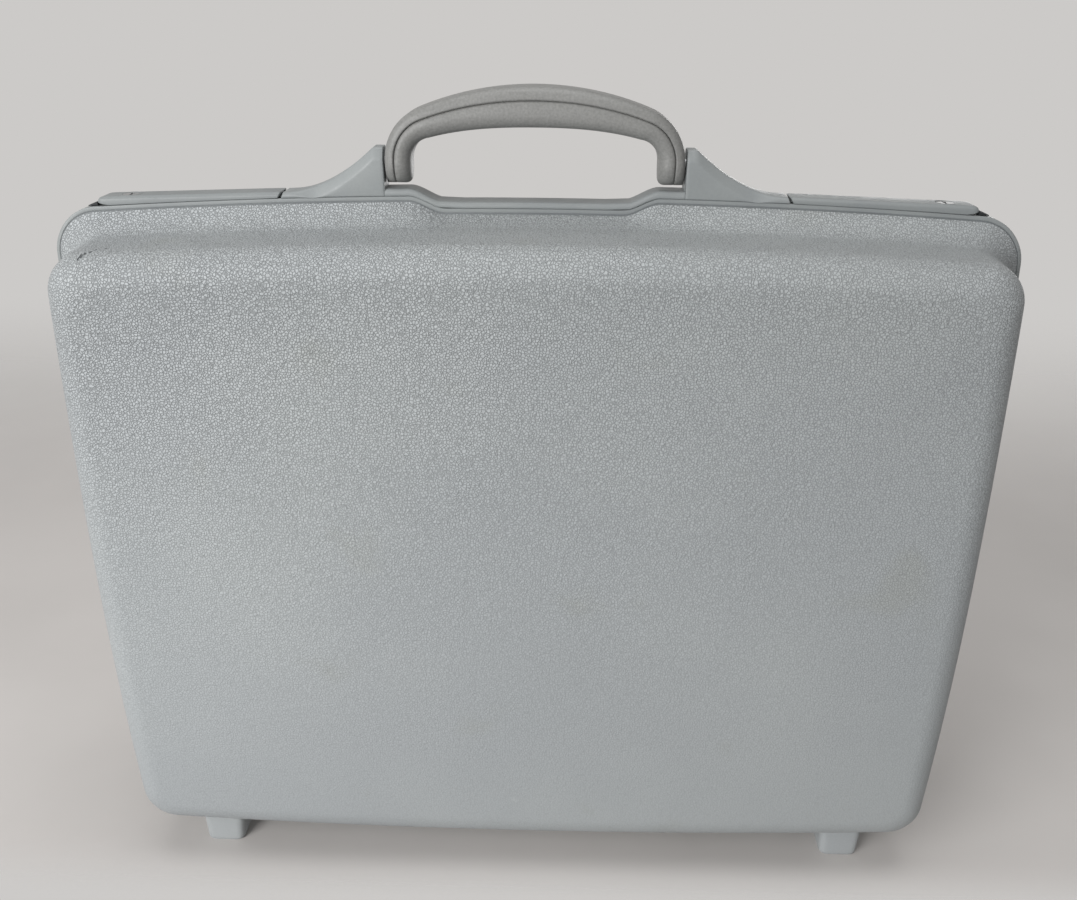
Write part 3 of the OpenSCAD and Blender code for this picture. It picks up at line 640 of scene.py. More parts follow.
def smooth_plastic(name, light, dark, rough, grain=0.03, speckle=0.12):
    """Smooth moulded plastic with faint flow marks, speckle and a grain in mm."""
    paint = Paint(name)
    flow = paint.mix(paint.remap(paint.noise(22, 4), 0.35, 0.65), tone(*dark), tone(*light))
    grey = paint.math("MULTIPLY_ADD", paint.noise(950, 2), speckle, 1 - speckle / 2)
    paint.colour(paint.scaled(flow, grey))
    paint.rough(paint.remap(paint.noise(130, 5), 0.3, 0.7, *rough))
    paint.relief(paint.noise(1100, 3), grain, 0.4)
    paint.relief(paint.noise(55, 2), 0.12, 0.2)
    paint.shader.inputs["Specular IOR Level"].default_value = SPECULAR
    return paint.material


def steel_paint(name, light, rough):
    """Plated steel with fine brush lines along X."""
    paint = Paint(name)
    stretch = paint.node("ShaderNodeMapping")
    stretch.inputs["Scale"].default_value = (120, 2600, 2600)
    paint.link(paint.place, stretch.inputs["Vector"])
    lines = paint.noise(1.0, 3, stretch.outputs["Vector"])
    dark = tone(*(v - 14 for v in light))
    paint.colour(paint.mix(paint.remap(lines, 0.3, 0.7), dark, tone(*light)))
    paint.shader.inputs["Metallic"].default_value = 1.0
    paint.rough(paint.remap(paint.noise(240, 4), 0.3, 0.7, rough - 0.06, rough + 0.06))
    paint.relief(lines, 0.01, 0.4)
    return paint.material


def fabric_paint(name, light, dark, thread):
    """Woven lining: two sets of threads, thread mm apart, with a pale fuzz."""
    paint = Paint(name)
    place = paint.split_place(paint.bent(180, 0.0004))
    pitch = 2 * math.pi / (thread * MM)
    waves = []
    for a, b in (("X", "Z"), ("Z", "Y")):
        total = paint.math("ADD", place[a], place[b])
        waves.append(paint.math("SINE", paint.math("MULTIPLY", total, pitch)))
    weave = paint.remap(paint.math("MULTIPLY", *waves), -0.6, 0.6)
    fuzz = paint.remap(paint.noise(700, 3), 0.3, 0.7)
    cloth = paint.mix(weave, tone(*dark), tone(*light))
    paint.colour(paint.mix(paint.math("MULTIPLY", fuzz, 0.35), cloth, tone(120, 124, 130)))
    paint.rough(0.85)
    paint.relief(weave, 0.12, 0.7)
    paint.relief(fuzz, 0.05, 0.4)
    paint.shader.inputs["Sheen Weight"].default_value = 0.25
    return paint.material


PAINTS = {
    "shell": shell_paint(),
    "trim": smooth_plastic("trim_smooth_plastic", (140, 144, 144), (134, 138, 139), (0.4, 0.5)),
    # The trim's plastic drawn darker for the levers and their collars: painted shade.
    "lever": smooth_plastic("lever_trim_painted_shade", (134, 138, 138), (128, 132, 133), (0.42, 0.52)),
    "foot": smooth_plastic("foot_smooth_plastic", (165, 169, 170), (159, 163, 165), (0.42, 0.52)),
    "handle": smooth_plastic(
        "handle_smooth_plastic", (132, 132, 130), (126, 126, 124), (0.42, 0.52), 0.2, 0.6
    ),
    # Darker plastic for the strip in the groove between bead and shell: painted shade.
    "joint": smooth_plastic("groove_painted_shade", (118, 122, 124), (110, 114, 116), (0.5, 0.6)),
    # Near-black plastic for the ramps beyond the levers' tips: painted shade.
    "ramp_shade": smooth_plastic("ramp_painted_shade", (44, 46, 48), (34, 36, 38), (0.6, 0.75)),
    "steel": steel_paint("steel_plated", (190, 191, 193), 0.32),
    "lock": steel_paint("steel_lock", (176, 177, 178), 0.36),
    "lining": fabric_paint("lining_woven", (98, 104, 112), (70, 75, 84), 0.9),
    "board": fabric_paint("pocket_woven", (88, 94, 103), (60, 65, 74), 1.3),
    "binding": smooth_plastic("pocket_binding", (66, 70, 78), (56, 60, 68), (0.5, 0.62)),
}


def dress(obj, body, paint, slot, *nodes):
    """Paints a piece, lets it ride on a body and stand for CAD nodes."""
    obj.data.materials.clear()
    obj.data.materials.append(PAINTS[paint])
    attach(obj, body)
    if nodes:
        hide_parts(*nodes)


def dress_node(node, paint, edge=0.0):
    """Gives a CAD node that stays its material, and edges rounded by edge in mm."""
    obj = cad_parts[node]
    obj.data.materials.clear()
    obj.data.materials.append(PAINTS[paint])
    if edge:
        soften(obj, edge)


# -------------------- shells and rims


def dome_levels():
    """Rings from the end of the rounding to the middle of the slightly domed face."""
    last = BELLY_DRAFT + FACE_R
    shares = [0.03, 0.08, 0.16, 0.27, 0.4, 0.56, 0.76, 1.0]
    return [
        (HALF_D - FACE_DOME * (1 - t) ** 2, 1.0, lerp(last, FACE_REACH, t)) for t in shares
    ]


def make_shell(name, rear):
    """A shell half with its step, belly and domed face, hollow inside."""
    inside = offset_levels(WALL)
    edge = [(WEB_D, 0.0, SHELL_LIP), (WEB_D, 0.0, 0.0)]
    levels = inside[::-1] + edge + OUTER_LEVELS + dome_levels()
    return skin(name, ring_rows(levels), mirror_y=rear)


def make_lining(name, rear):
    """A thin lining that follows the inside of a shell half."""
    outside = [(LINING_EDGE_Y, 0.0, LINING_LIP)] + offset_levels(WALL + LINING_GAP)
    inside = [(LINING_EDGE_Y, 0.0, LINING_LIP + LINING_T)]
    inside += offset_levels(WALL + LINING_GAP + LINING_T)
    return skin(name, ring_rows(inside[::-1] + outside), mirror_y=rear)


def make_rim(name, section, rear):
    """A rim half from its section of (distance from the parting plane, distance inwards).

    The bead's outer edge is sharp under the strip on top and round at the sides.
    """
    crisp = rounded(section, BEAD_ROUND)
    soft = rounded(section, BEAD_ROUND, larger={1: BEAD_SIDE_ROUND})
    rows = []
    for (ya, ia), (yb, ib) in zip(crisp, soft):
        row = []
        for a, b in zip(ring(0.0, ia - EDGE_IN), ring(0.0, ib - EDGE_IN)):
            t = smooth((RIM_Z - TOP_CROWN - a[1]) / BEAD_BLEND_Z)
            row.append((lerp(a[0], b[0], t), -lerp(ya, yb, t), lerp(a[1], b[1], t)))
        rows.append(row)
    return skin(name, rows, closed=True, mirror_y=rear)


BEAD = [(EDGE_BACK, 0), (BEAD_D, 0), (BEAD_D, BEAD_W), (WEB_D, BEAD_W), (WEB_D, WEB_W)]
BODY_RIM = BEAD + [(-LIP_Y, WEB_W), (-LIP_Y, LIP_FROM), (EDGE_BACK, LIP_FROM)]
LID_SEAT, LID_LIP = LIP_Y + 2 * GAP, LIP_FROM - 2 * GAP
LID_RIM = BEAD + [(LID_SEAT, WEB_W), (LID_SEAT, LID_LIP), (EDGE_BACK, LID_LIP)]


def make_groove_shade_strip(name, rear):
    """Darker strip that half fills the groove between a rim bead and its shell: painted shade."""
    y0, y1 = WEB_D - GROOVE_SHADE_SUNK, BEAD_D - GROOVE_SHADE_SUNK
    outer, inner = BEAD_W - GROOVE_SHADE_LAP, EDGE_IN + GROOVE_SHADE_LAP
    section = [(y0, outer), (y1, outer), (y1, inner), (y0, inner)]
    levels = [(y, 0.0, inwards - EDGE_IN) for y, inwards in section]
    return skin(name, ring_rows(levels), closed=True, mirror_y=rear)


def shell_bottom(x, y):
    """Height of a shell's underside at x, y from the parting plane."""
    in_belly = clamp01((y - STEP_D) / (ROUND_Y - STEP_D))
    z = LEG_H + lerp(EDGE_IN, BELLY_BOTTOM_IN, step_share(y)) + BELLY_DRAFT * in_belly
    return z - BOTTOM_CROWN * (z - MID_Z) / HALF_H * (x / HALF_W) ** 2


FOOT_INSETS = (
    (0, 0.8), (0.02, 0.35), (0.07, 0.08), (0.14, 0), (0.4, 0), (0.7, 0), (0.9, 0), (1, 0),
)


def make_foot(side, rear):
    """A foot with round upright edges, a little wider where it meets the shell.

    FOOT_INSETS rounds its lower edge: share of the height, and how far it draws in.
    """
    rows = []
    for q, inset in FOOT_INSETS:
        half_w = FOOT_W / 2 - inset + FOOT_TAPER * q
        y0, y1 = FOOT_Y0 + inset, FOOT_Y0 + FOOT_D - inset
        corners = [(-half_w, y0), (-half_w, y1), (half_w, y1), (half_w, y0)]
        row = []
        for u, y in rounded(corners, FOOT_R, 6):
            x = FOOT_X + u
            row.append((side * x, -y, q * (shell_bottom(x, y) - 0.05)))
        rows.append(row)
    return skin("foot", rows, mirror_y=rear)


for body, rear in (("body", True), ("lid", False)):
    dress(make_shell(f"{body}_shell_grained", rear), body, "shell", "shell", f"{body}_shell")
    dress(make_lining(f"{body}_lining_cloth", rear), body, "lining", "lining", f"{body}_lining")
    section = BODY_RIM if rear else LID_RIM
    dress(make_rim(f"{body}_rim_bead", section, rear), body, "trim", "trim", f"{body}_frame")
    # A darker strip in each groove between bead and shell: painted shade.
    dress(make_groove_shade_strip(f"{body}_groove_shade_strip", rear), body, "joint", "trim")
    feet = join(f"{body}_feet_moulded", [make_foot(side, rear) for side in (-1, 1)])
    dress(feet, body, "foot", "trim", f"{body}_feet")


# -------------------- chassis


def strip_top(x):
    """Height of the strip's top at x, lower towards its ends and in the finger well."""
    share = clamp01((abs(x) - TOWER_X) / (TOWER_END_X - TOWER_X))
    return crown_z(x) + lerp(STRIP_H, STRIP_END_H, share) - STRIP_WELL_DEPTH * well(x)


def strip_bottom(x):
    """Height of the strip's underside at x, just above the rim."""
    return crown_z(x) + SEAM - (WELL_DEPTH + SEAM / 2) * well(x)


def tower_share(x):
    """Share of a tower's sweep at x, from 0 at its foot to 1 at its flat top."""
    return clamp01((TOWER_END_X - x) / (TOWER_END_X - TOWER_X - TOWER_FLAT_W))


# Station along a bar in X: (x, half depth, bottom, top, bevel depth, bevel height, lean)


def tower_station(x, drop=0.0):
    """Station on a tower, its top and sides drawn in by drop."""
    share = tower_share(x)
    q = smooth(3 * share)
    rise = (TOWER_TOP - strip_top(TOWER_X + TOWER_FLAT_W)) * share**TOWER_POWER
    top = min(strip_top(x) + rise, TOWER_TOP) - drop
    return (
        x, STRIP_Y - 0.6 * drop, strip_bottom(x), top,
        lerp(STRIP_BEVEL, TOWER_BEVEL_Y, q), lerp(STRIP_BEVEL, TOWER_BEVEL_Z, q), 0.0,
    )


def strip_station(x, lean=0.0, drop=0.0, draw_in=0.0):
    """Station on the strip, its top lowered by drop and its sides by draw_in."""
    y, top = STRIP_Y - draw_in, strip_top(x) - drop
    return (x, y, strip_bottom(x), top, STRIP_BEVEL, STRIP_BEVEL, lean)


def rim_station(x, form):
    """Station of a form (half depth, bottom, top, bevels) that follows the crowned rim."""
    y, low, high, by, bz = form
    return (x, y, crown_z(x) + low, crown_z(x) + high, by, bz, 0.0)


def bar_row(station, r):
    """Section of a bar at a station, with its upper bevels rounded by r."""
    x, y, low, high, by, bz, lean = station
    section = [(-y, low), (-y, high - bz), (-y + by, high)]
    section += [(y - by, high), (y, high - bz), (y, low)]
    return [(x + lean * (q - low) / (high - low), p, q) for p, q in rounded(section, r)]


def bar(name, stations, r=0.9):
    """A bar along X through its stations."""
    return skin(name, [bar_row(k, r) for k in stations])


def mirrored(stations):
    """The stations of the other side, in the order of rising x."""
    return [(-k[0], *k[1:-1], -k[-1]) for k in stations[::-1]]


def latch_pivot_z():
    """Height of the latch pivots."""
    return crown_z(LATCH_X) + LATCH_H - NOSE_R


WELL_STATIONS = spread(0, 43, 4) + spread(43, 57, 14) + [57]
LATCH_WEB = (KNUCKLE_Y, SEAM, 0.35, 0.05, 0.05)
LATCH_NECK = (KNUCKLE_Y, RIM_GAP, PLATE_H, 0.1, 0.1)
LATCH_PLATE = (PLATE_Y, RIM_GAP, PLATE_H, 0.4, 0.4)


def chassis_stations():
    """Stations of the right half: strip, tower, slanted split, and plate under the lever."""
    split_x = LATCH_X - SPLIT_BACK
    half = [strip_station(x) for x in WELL_STATIONS + [TOWER_X - 0.3]]
    half += [tower_station(TOWER_X, 0.5), tower_station(TOWER_X + 0.15, 0.15)]
    half += [tower_station(TOWER_X + 0.5)]
    half += [tower_station(x) for x in spread(TOWER_X + 1.5, TOWER_END_X, 30) + [TOWER_END_X]]
    half += [strip_station(split_x - 0.4, SPLIT_LEAN)]
    half += [strip_station(split_x, SPLIT_LEAN, 0.25, 0.3)]
    half += [rim_station(split_x + 0.1, LATCH_WEB), rim_station(LATCH_X - 1.25, LATCH_WEB)]
    half += [rim_station(LATCH_X - 1.2, LATCH_NECK), rim_station(LATCH_X + 3, LATCH_NECK)]
    xs = spread(LATCH_X + 3.3, PLATE_END_X, 8) + [PLATE_END_X]
    return half + [rim_station(x, LATCH_PLATE) for x in xs]


def make_chassis():
    """Strip with finger well, towers, latch knuckles and notches for the keepers."""
    half = chassis_stations()
    chassis = bar("chassis_moulding", mirrored(half)[:-1] + half)
    for side in (-1, 1):
        rows = cylinder_rows(side * LATCH_X, 0, latch_pivot_z(), KNUCKLE_R, 2 * KNUCKLE_Y, "y")
        combine(chassis, skin("knuckle", rows), "UNION")
        notch_l, y0, y1 = KEEPER_L + 2, -PLATE_Y - 1, 0.2 - KEEPER_Y0
        x, z = side * HOOK_X, crown_z(HOOK_X)
        corners = [(y0, z - 2), (y0, z + 4), (y1, z + 4), (y1, z - 2)]
        rows = [[(x + s * notch_l / 2, y, h) for y, h in corners] for s in (-1, 1)]
        combine(chassis, skin("notch", rows), "DIFFERENCE")
    chassis.data.set_sharp_from_angle(angle=math.radians(FINE_SHARP_ANGLE))
    return chassis


def make_ramp(side):
    """Ramp on the rim just beyond a lever's tip, near black: painted shade."""
    stations = []
    for t in (0, 0.06, 0.25, 0.5, 0.75, 0.94, 1):
        x = lerp(LATCH_END_X + RAMP_GAP, LATCH_END_X + RAMP_END, t)
        low, bevel = crown_z(x) + 0.05 - 0.1 * t, 0.25 * (1 - 0.6 * t)
        top = crown_z(x) + lerp(RAMP_H, RAMP_END_H, t) - (0.25 if t in (0, 1) else 0)
        stations.append((x, RAMP_Y - 1.2 * t, low, top, 0.5, bevel, 0.0))
    return bar(f"chassis_ramp_{side}", stations if side == "right" else mirrored(stations), 0.4)


dress(make_chassis(), "body", "trim", "trim", "chassis")
# Near-black ramps beyond the levers' tips: painted shade.
for hand in ("left", "right"):
    dress(make_ramp(hand), "body", "ramp_shade", "trim")


# -------------------- handle


SHOULDER_X = HANDLE_HW - SHOULDER_R
ARCH_Z = HANDLE_TOP - ARCH_R
SHOULDER_Z = ARCH_Z + math.sqrt((ARCH_R - SHOULDER_R) ** 2 - SHOULDER_X**2)
ARCH_FROM = math.degrees(math.atan2(SHOULDER_Z - ARCH_Z, SHOULDER_X))


def handle_share(a):
    """Share of the swell at angle a, from 0 at the legs to 1 in the middle."""
    c = abs(math.cos(math.radians(a)))
    x = min(ARCH_R * c, SHOULDER_X + SHOULDER_R * c)
    return smooth(1 - x / HANDLE_HW) ** SWELL_POWER


def handle_half_depth(a):
    """Half depth of the handle at angle a, from a leg's to the grip's."""
    return lerp(LEG_END_R, GRIP_Y, smooth(a / 90))


def handle_stations():
    """(outer x, outer z, angle of the outward normal, half depth, trim) along the handle.

    Trim is how far the inner side of a leg draws back towards the leg's rounded end.
    """
    half = []
    for a in (-84, -80, -75, -69, -62, -54, -45, -35, -23, -11, 0):
        r = math.radians(a)
        z = PIVOT_Z + LEG_END_R * math.sin(r)
        rise = clamp01((z - PIVOT_Z + LEG_END_R) / END_ROUND)
        trim = END_ROUND * (1 - math.sqrt(1 - (1 - rise) ** 2))
        half.append((HANDLE_HW, z, 0.0, LEG_END_R * math.cos(r), trim))
    half.append((HANDLE_HW, lerp(PIVOT_Z, SHOULDER_Z, 0.5), 0.0, LEG_END_R, 0.0))
    for i in range(25):
        a = ARCH_FROM * i / 24
        x = SHOULDER_X + SHOULDER_R * math.cos(math.radians(a))
        z = SHOULDER_Z + SHOULDER_R * math.sin(math.radians(a))
        half.append((x, z, a, handle_half_depth(a), 0.0))
    for i in range(1, 21):
        a = lerp(ARCH_FROM, 90, i / 20)
        x, z = ARCH_R * math.cos(math.radians(a)), ARCH_Z + ARCH_R * math.sin(math.radians(a))
        half.append((x, z, a, handle_half_depth(a), 0.0))
    return half + [(-x, z, 180 - a, d, trim) for x, z, a, d, trim in half[-2::-1]]


def handle_skin(name, section_of):
    """A closed solid of sections, each as (distance outwards, y), along the handle."""
    rows = []
    for x, z, a, d, trim in handle_stations():
        c, s = math.cos(math.radians(a)), math.sin(math.radians(a))
        rows.append([(x + n * c, y, z + n * s) for n, y in section_of(a, d, trim)])
    return skin(name, rows, angle=50)


def quarter_turns(r, start, centres):
    """Rounded edges of radius r: a quarter turn about each centre, the first from start."""
    points = []
    for turn, (cx, cy) in enumerate(centres):
        for i in range(9):
            q = math.radians(start + 90 * turn + 90 * i / 8)
            points.append((cx + r * math.cos(q), cy + r * math.sin(q)))
    return points


def cover_section(a, d, _trim):
    """Outer cover: round outside, with a sharp edge where it meets the grip."""
    t = lerp(COVER_LEG_T, COVER_T, handle_share(a))
    r = min(5.0, d * 0.9, t * 0.85)
    e = min(0.5, d * 0.3)
    points = [(-t + e, d), (-t, d - e), (-t, -d + e), (-t + e, -d)]
    return points + quarter_turns(r, -90, [(-r, -d + r), (-r, d - r)])


def grip_section(a, d, trim):
    """Inner grip, a little narrower than the cover, with a groove where they meet."""
    t = lerp(LEG_T, GRIP_T, handle_share(a)) - trim
    c = lerp(COVER_LEG_T, COVER_T, handle_share(a)) + GRIP_LINE
    r = min(5.2, d * 0.9, (t - c) * 0.8)
    e = min(0.7, d * 0.3)
    m = max(d - 1.6, 0.4 * d)
    base = -c + GRIP_LINE - 0.04
    points = [(-c - e, -d + GRIP_IN), (-c, -d + GRIP_IN + e), (-c, -m), (base, -m)]
    points += [(base, m), (-c, m), (-c, d - GRIP_IN - e), (-c - e, d - GRIP_IN)]
    return points + quarter_turns(r, 90, [(-t + r, d - r), (-t + r, -d + r)])


for part, section_of in (("cover", cover_section), ("grip", grip_section)):
    moulding = handle_skin(f"handle_{part}_moulding", section_of)
    dress(moulding, "handle", "handle", "handle", f"handle_{part}")


# -------------------- latches and locks


TIP_BACKS = ((1.8, 0.1), (1.0, 0.35), (0.45, 0.75), (0.12, 1.2), (0, 1.6))


def tip_share(x):
    """Share of the lever's tip at x, where its underside rises off the rim."""
    return clamp01((x - TIP_FROM) / (LATCH_END_X - TIP_FROM))


def lever_top(x):
    """Height of the lever's top at x, rising a little outwards."""
    inner, outer = crown_z(LATCH_X) + LATCH_H, crown_z(LATCH_END_X) + LATCH_TIP_H
    rise = (x - LATCH_X) / (LATCH_END_X - LATCH_X)
    return lerp(inner, outer, rise) - TIP_DROP * tip_share(x) ** 2


def lever_bottom(x):
    """Height of the lever's underside at x, close to the rim except at its tip."""
    gap = lerp(0.15, 0.06, smooth((x - LATCH_X - 1) / 8))
    return lerp(crown_z(x) + gap, lever_top(LATCH_END_X) - TIP_T, tip_share(x))


def lever_stations():
    """Stations of the right lever: slanted inner end, straight body, blunt round tip.

    TIP_BACKS rounds the tip: distance from its end, and how far it draws in there.
    """
    low, high = lever_bottom(LATCH_X), lever_top(LATCH_X) - 0.35
    stations = [(LATCH_X - 0.4, LATCH_Y - 0.4, low, high, 1.1, 1.0, LEVER_LEAN)]
    xs = [LATCH_X - 0.1, LATCH_X + 0.3] + spread(LATCH_X + 2.5, TIP_FROM, 12)
    xs += spread(TIP_FROM, LATCH_END_X - 2.2, 5)
    leans = [LEVER_LEAN, 0.8 * LEVER_LEAN] + [0.0] * (len(xs) - 2)
    for x, lean in zip(xs, leans):
        stations.append((x, LATCH_Y, lever_bottom(x), lever_top(x), 1.2, 1.2, lean))
    for back, inset in TIP_BACKS:
        x = LATCH_END_X - back
        low, high = lever_bottom(x) + 0.25 * inset, lever_top(x) - inset
        bevel = min(1.0, 0.4 * (high - low))
        stations.append((x, LATCH_Y - 0.9 * inset, low, high, 1.0, bevel, 0.0))
    return stations


def make_latch():
    """Right-hand lever: a cap with a slanted inner end, a notch and a hole for its lock."""
    lever = bar("lever", lever_stations(), 0.45)
    xs = [LATCH_X + 2.6] + spread(LATCH_X + 8, TIP_FROM - 2, 6) + [TIP_FROM - 2]
    y = LATCH_Y - LATCH_WALL
    inner = [(x, y, crown_z(x) - 1, lever_top(x) - LATCH_WALL, 0.4, 0.4, 0.0) for x in xs]
    combine(lever, bar("pocket", inner, 0.3), "DIFFERENCE")
    low, high = crown_z(LOCK_X) + PLATE_H + 0.5, lever_top(LOCK_X) - 0.6
    boss = cylinder_rows(LOCK_X, 0, (low + high) / 2, BOSS_R, high - low, "z")
    combine(lever, skin("boss", boss), "UNION")
    y, low, high = KNUCKLE_Y + GAP, latch_pivot_z() - 4, latch_pivot_z() + 0.95
    corners = [(-y, low), (-y, high), (y, high), (y, low)]
    notch = [[(x, p, q) for p, q in corners] for x in (LATCH_X - 4, LATCH_X + 4)]
    combine(lever, skin("notch", notch), "DIFFERENCE")
    hole = cylinder_rows(LOCK_X, 0, lever_top(LOCK_X), LOCK_R + LOCK_PLAY, 14, "z", 0.05)
    combine(lever, skin("hole", hole), "DIFFERENCE")
    return lever


COLLAR = ((0.2, -0.3), (0.24, 0.02), (0.34, 0.1), (0.6, 0.14), (0.8, 0.08), (0.88, -0.3))


def make_lock_collar():
    """Low round collar on the right-hand lever, around its key lock.

    COLLAR is its section: distance beyond the lock, and height over the lever.
    """
    z = lever_top(LOCK_X)
    slope = (lever_top(LOCK_X + 4) - lever_top(LOCK_X - 4)) / 8
    angles = [2 * math.pi * k / 64 for k in range(64)]
    rows = []
    for grow, h in COLLAR:
        r = LOCK_R + grow
        circle = [(r * math.cos(a), r * math.sin(a)) for a in angles]
        rows.append([(LOCK_X + u, v, z + h + slope * u) for u, v in circle])
    return skin("lock_collar", rows, closed=True)


def other_side(obj, name):
    """The same piece on the left: a mirrored copy."""
    mesh = obj.data.copy()
    mesh.transform(Matrix.Scale(-1, 4, (1, 0, 0)))
    mesh.flip_normals()
    return finish_mesh(name, mesh, FINE_SHARP_ANGLE)


levers = {"right": make_latch()}
collars = {"right": make_lock_collar()}
levers["left"] = other_side(levers["right"], "lever_left")
collars["left"] = other_side(collars["right"], "collar_left")
for hand, lever in levers.items():
    body = f"latch_{hand}"
    lever.name = f"{body}_lever"
    collars[hand].name = f"{body}_lock_collar"
    lever.data.set_sharp_from_angle(angle=math.radians(FINE_SHARP_ANGLE))
    # Levers and collars take the darker copy of the trim's plastic: painted shade.
    dress(lever, body, "lever", "trim", body)
    dress(collars[hand], body, "lever", "trim")
    dress_node(f"lock_{hand}", "lock", 0.2)
    dress_node(f"hook_{hand}", "steel", 0.15)
    dress_node(f"stay_{hand}", "steel", 0.25)


# -------------------- inside


def pocket_ring(y, inset, r):
    """Rounded rectangle at y, inset from the pocket's outline, taller than the pocket."""
    x, low, high = POCKET_W / 2 - inset, POCKET_Z + inset, POCKET_Z + POCKET_H + 12
    corners = [(-x, low), (-x, high), (x, high), (x, low)]
    return [(px, y, pz) for px, pz in rounded(corners, r, 6)]


POCKET_BACK_Y = -LINING_IN + GAP
POCKET_FRONT_Y = POCKET_BACK_Y + POCKET_D
POCKET_TOP = POCKET_Z + POCKET_H


def make_pocket():
    """Board pocket with soft corners and a slightly bowed front, open at its top."""
    back, front = POCKET_BACK_Y, POCKET_FRONT_Y
    outer = [(back, 0, 7), (front - 2.6, 0, 7), (front - 1.2, 0.4, 7), (front - 0.45, 1.2, 7)]
    outer += [(front - 0.2, 2.6, 7)]
    outer += [(front - 0.2 + 0.2 * t, 2.6 + 60 * t, 7) for t in (0.25, 0.5, 1)]
    inner = [(back - 1, 1.2, 6), (front - 4, 1.2, 6), (front - 2.4, 1.8, 6)]
    inner += [(front - 1.5, 3.6, 7), (front - 1.2, 60, 7)]
    pocket = skin("document_pocket_board", [pocket_ring(*k) for k in outer])
    combine(pocket, skin("hollow", [pocket_ring(*k) for k in inner]), "DIFFERENCE")
    low, high = POCKET_TOP, POCKET_TOP + 20
    corners = [(back - 2, low), (back - 2, high), (front + 2, high), (front + 2, low)]
    cut = skin("cut", [[(x, y, z) for y, z in corners] for x in (-POCKET_W, POCKET_W)])
    combine(pocket, cut, "DIFFERENCE")
    return pocket


def make_binding():
    """Rounded binding sewn over the pocket's top edge."""
    y, x = POCKET_FRONT_Y - 0.95, POCKET_W / 2 - 2.2
    section = rounded([(-0.85, -3.2), (-0.85, 0.9), (0.85, 0.9), (0.85, -3.2)], 0.8, 4)
    ends = [(-x, 0.6), (-x + 0.4, 1.0), (x - 0.4, 1.0), (x, 0.6)]
    rows = [[(end, y + k * p, POCKET_TOP + k * q) for p, q in section] for end, k in ends]
    return skin("document_pocket_binding", rows)


STITCH_IN = 6
STITCH_REACH = 0.36
STITCH_FORM = ((-1, 0), (-0.7, 1), (0.7, 1), (1, 0), (0.7, -1), (-0.7, -1))
STITCH_LEVELS = ((0.22, 0.0, 0.25), (0.16, 0.1, 0.0))


def stitch_places():
    """(x, z, direction) of each stitch: down, across and up the pocket's front."""
    half, low, high = POCKET_W / 2 - STITCH_IN, POCKET_Z + STITCH_IN, POCKET_TOP - STITCH_IN
    runs = [((-half, high), (-half, low)), ((-half, low), (half, low)), ((half, low), (half, high))]
    places = []
    for (x0, z0), (x1, z1) in runs:
        length = math.hypot(x1 - x0, z1 - z0)
        count = int(length / STITCH)
        for i in range(count):
            t = (i + 0.5) / count
            direction = ((x1 - x0) / length, (z1 - z0) / length)
            places.append((lerp(x0, x1, t), lerp(z0, z1, t), direction))
    return places


def make_stitches():
    """Short raised stitches round the pocket's front.

    STITCH_FORM is a stitch's outline as (share of its reach, side), and STITCH_LEVELS
    gives its half width, height and depth in the board, for its base and its back.
    """
    y = POCKET_FRONT_Y + 0.02
    verts, faces = [], []
    for x, z, (dx, dz) in stitch_places():
        start = len(verts)
        for half_w, raised, sunk in STITCH_LEVELS:
            for share, side in STITCH_FORM:
                along, w = share * STITCH * STITCH_REACH, side * half_w
                h = raised if side else -0.1
                place = (x + along * dx - w * dz, y + h - sunk, z + along * dz + w * dx)
                verts.append(tuple(v * MM for v in place))
        faces.append(tuple(start + i for i in range(6)))
        faces.append(tuple(start + 6 + i for i in range(5, -1, -1)))
        for i in range(6):
            j = (i + 1) % 6
            faces.append((start + i, start + j, start + 6 + j, start + 6 + i))
    mesh = bpy.data.meshes.new("stitches")
    mesh.from_pydata(verts, [], faces)
    return finish_mesh("document_pocket_stitches", mesh)


SMALL_STEEL = (
    "hinge_pins", "chassis_screws", "handle_pins", "latch_pins", "keepers",
    "stay_tracks", "stay_brackets",
)
dress(make_pocket(), "lid", "board", "lining", "document_pocket")
dress(make_binding(), "lid", "binding", "lining")
dress(make_stitches(), "lid", "binding", "lining")
for node in ("body_hinge_leaves", "lid_hinge_leaves"):
    dress_node(node, "steel", 0.2)
for node in SMALL_STEEL:
    dress_node(node, "steel", 0.15)
dress_node("latch_springs", "steel")


# -------------------- stage


# Lamps in metres and watts: place, size, power. Fades in metres: from, to.
LAMPS = {
    "key": ((-1.1, -1.9, 0.4), 1.2, 17),
    "left": ((-0.85, -1.05, 0.75), 0.9, 13.5),
    "top": ((0, -0.16, 2.0), 1.2, 12),
    "rear": ((0.9, 1.9, 0.1), 1.2, 11),
}
LAMP_TARGET = (0, 0, 0.2)
WORLD_LIGHT = 0.46
FLOOR_FRONT, FLOOR_BACK, FLOOR_SIDE = -0.085, 2.2, 2.6
FADE_BEFORE = (-0.084, -0.034)
FADE_BEHIND = (0.3, 1.1)
FADE_BESIDE = (0.7, 1.5)


def floor_paint():
    """Pale matt floor that fades out just in front of the case, and far off elsewhere."""
    paint = Paint("floor_pale")
    clouds = paint.remap(paint.noise(6, 3), 0.3, 0.7)
    paint.colour(paint.mix(clouds, tone(203, 199, 196), tone(208, 204, 201)))
    paint.rough(0.7)
    paint.relief(paint.noise(90, 5), 0.3, 0.25)
    place = paint.split_place()
    behind = paint.remap(place["Y"], *FADE_BEHIND, 1.0, 0.0)
    before = paint.remap(place["Y"], *FADE_BEFORE)
    beside = paint.remap(paint.math("ABSOLUTE", place["X"]), *FADE_BESIDE, 1.0, 0.0)
    before = paint.math("MULTIPLY", before, beside)
    paint.link(paint.math("MULTIPLY", behind, before), paint.shader.inputs["Alpha"])
    return paint.material


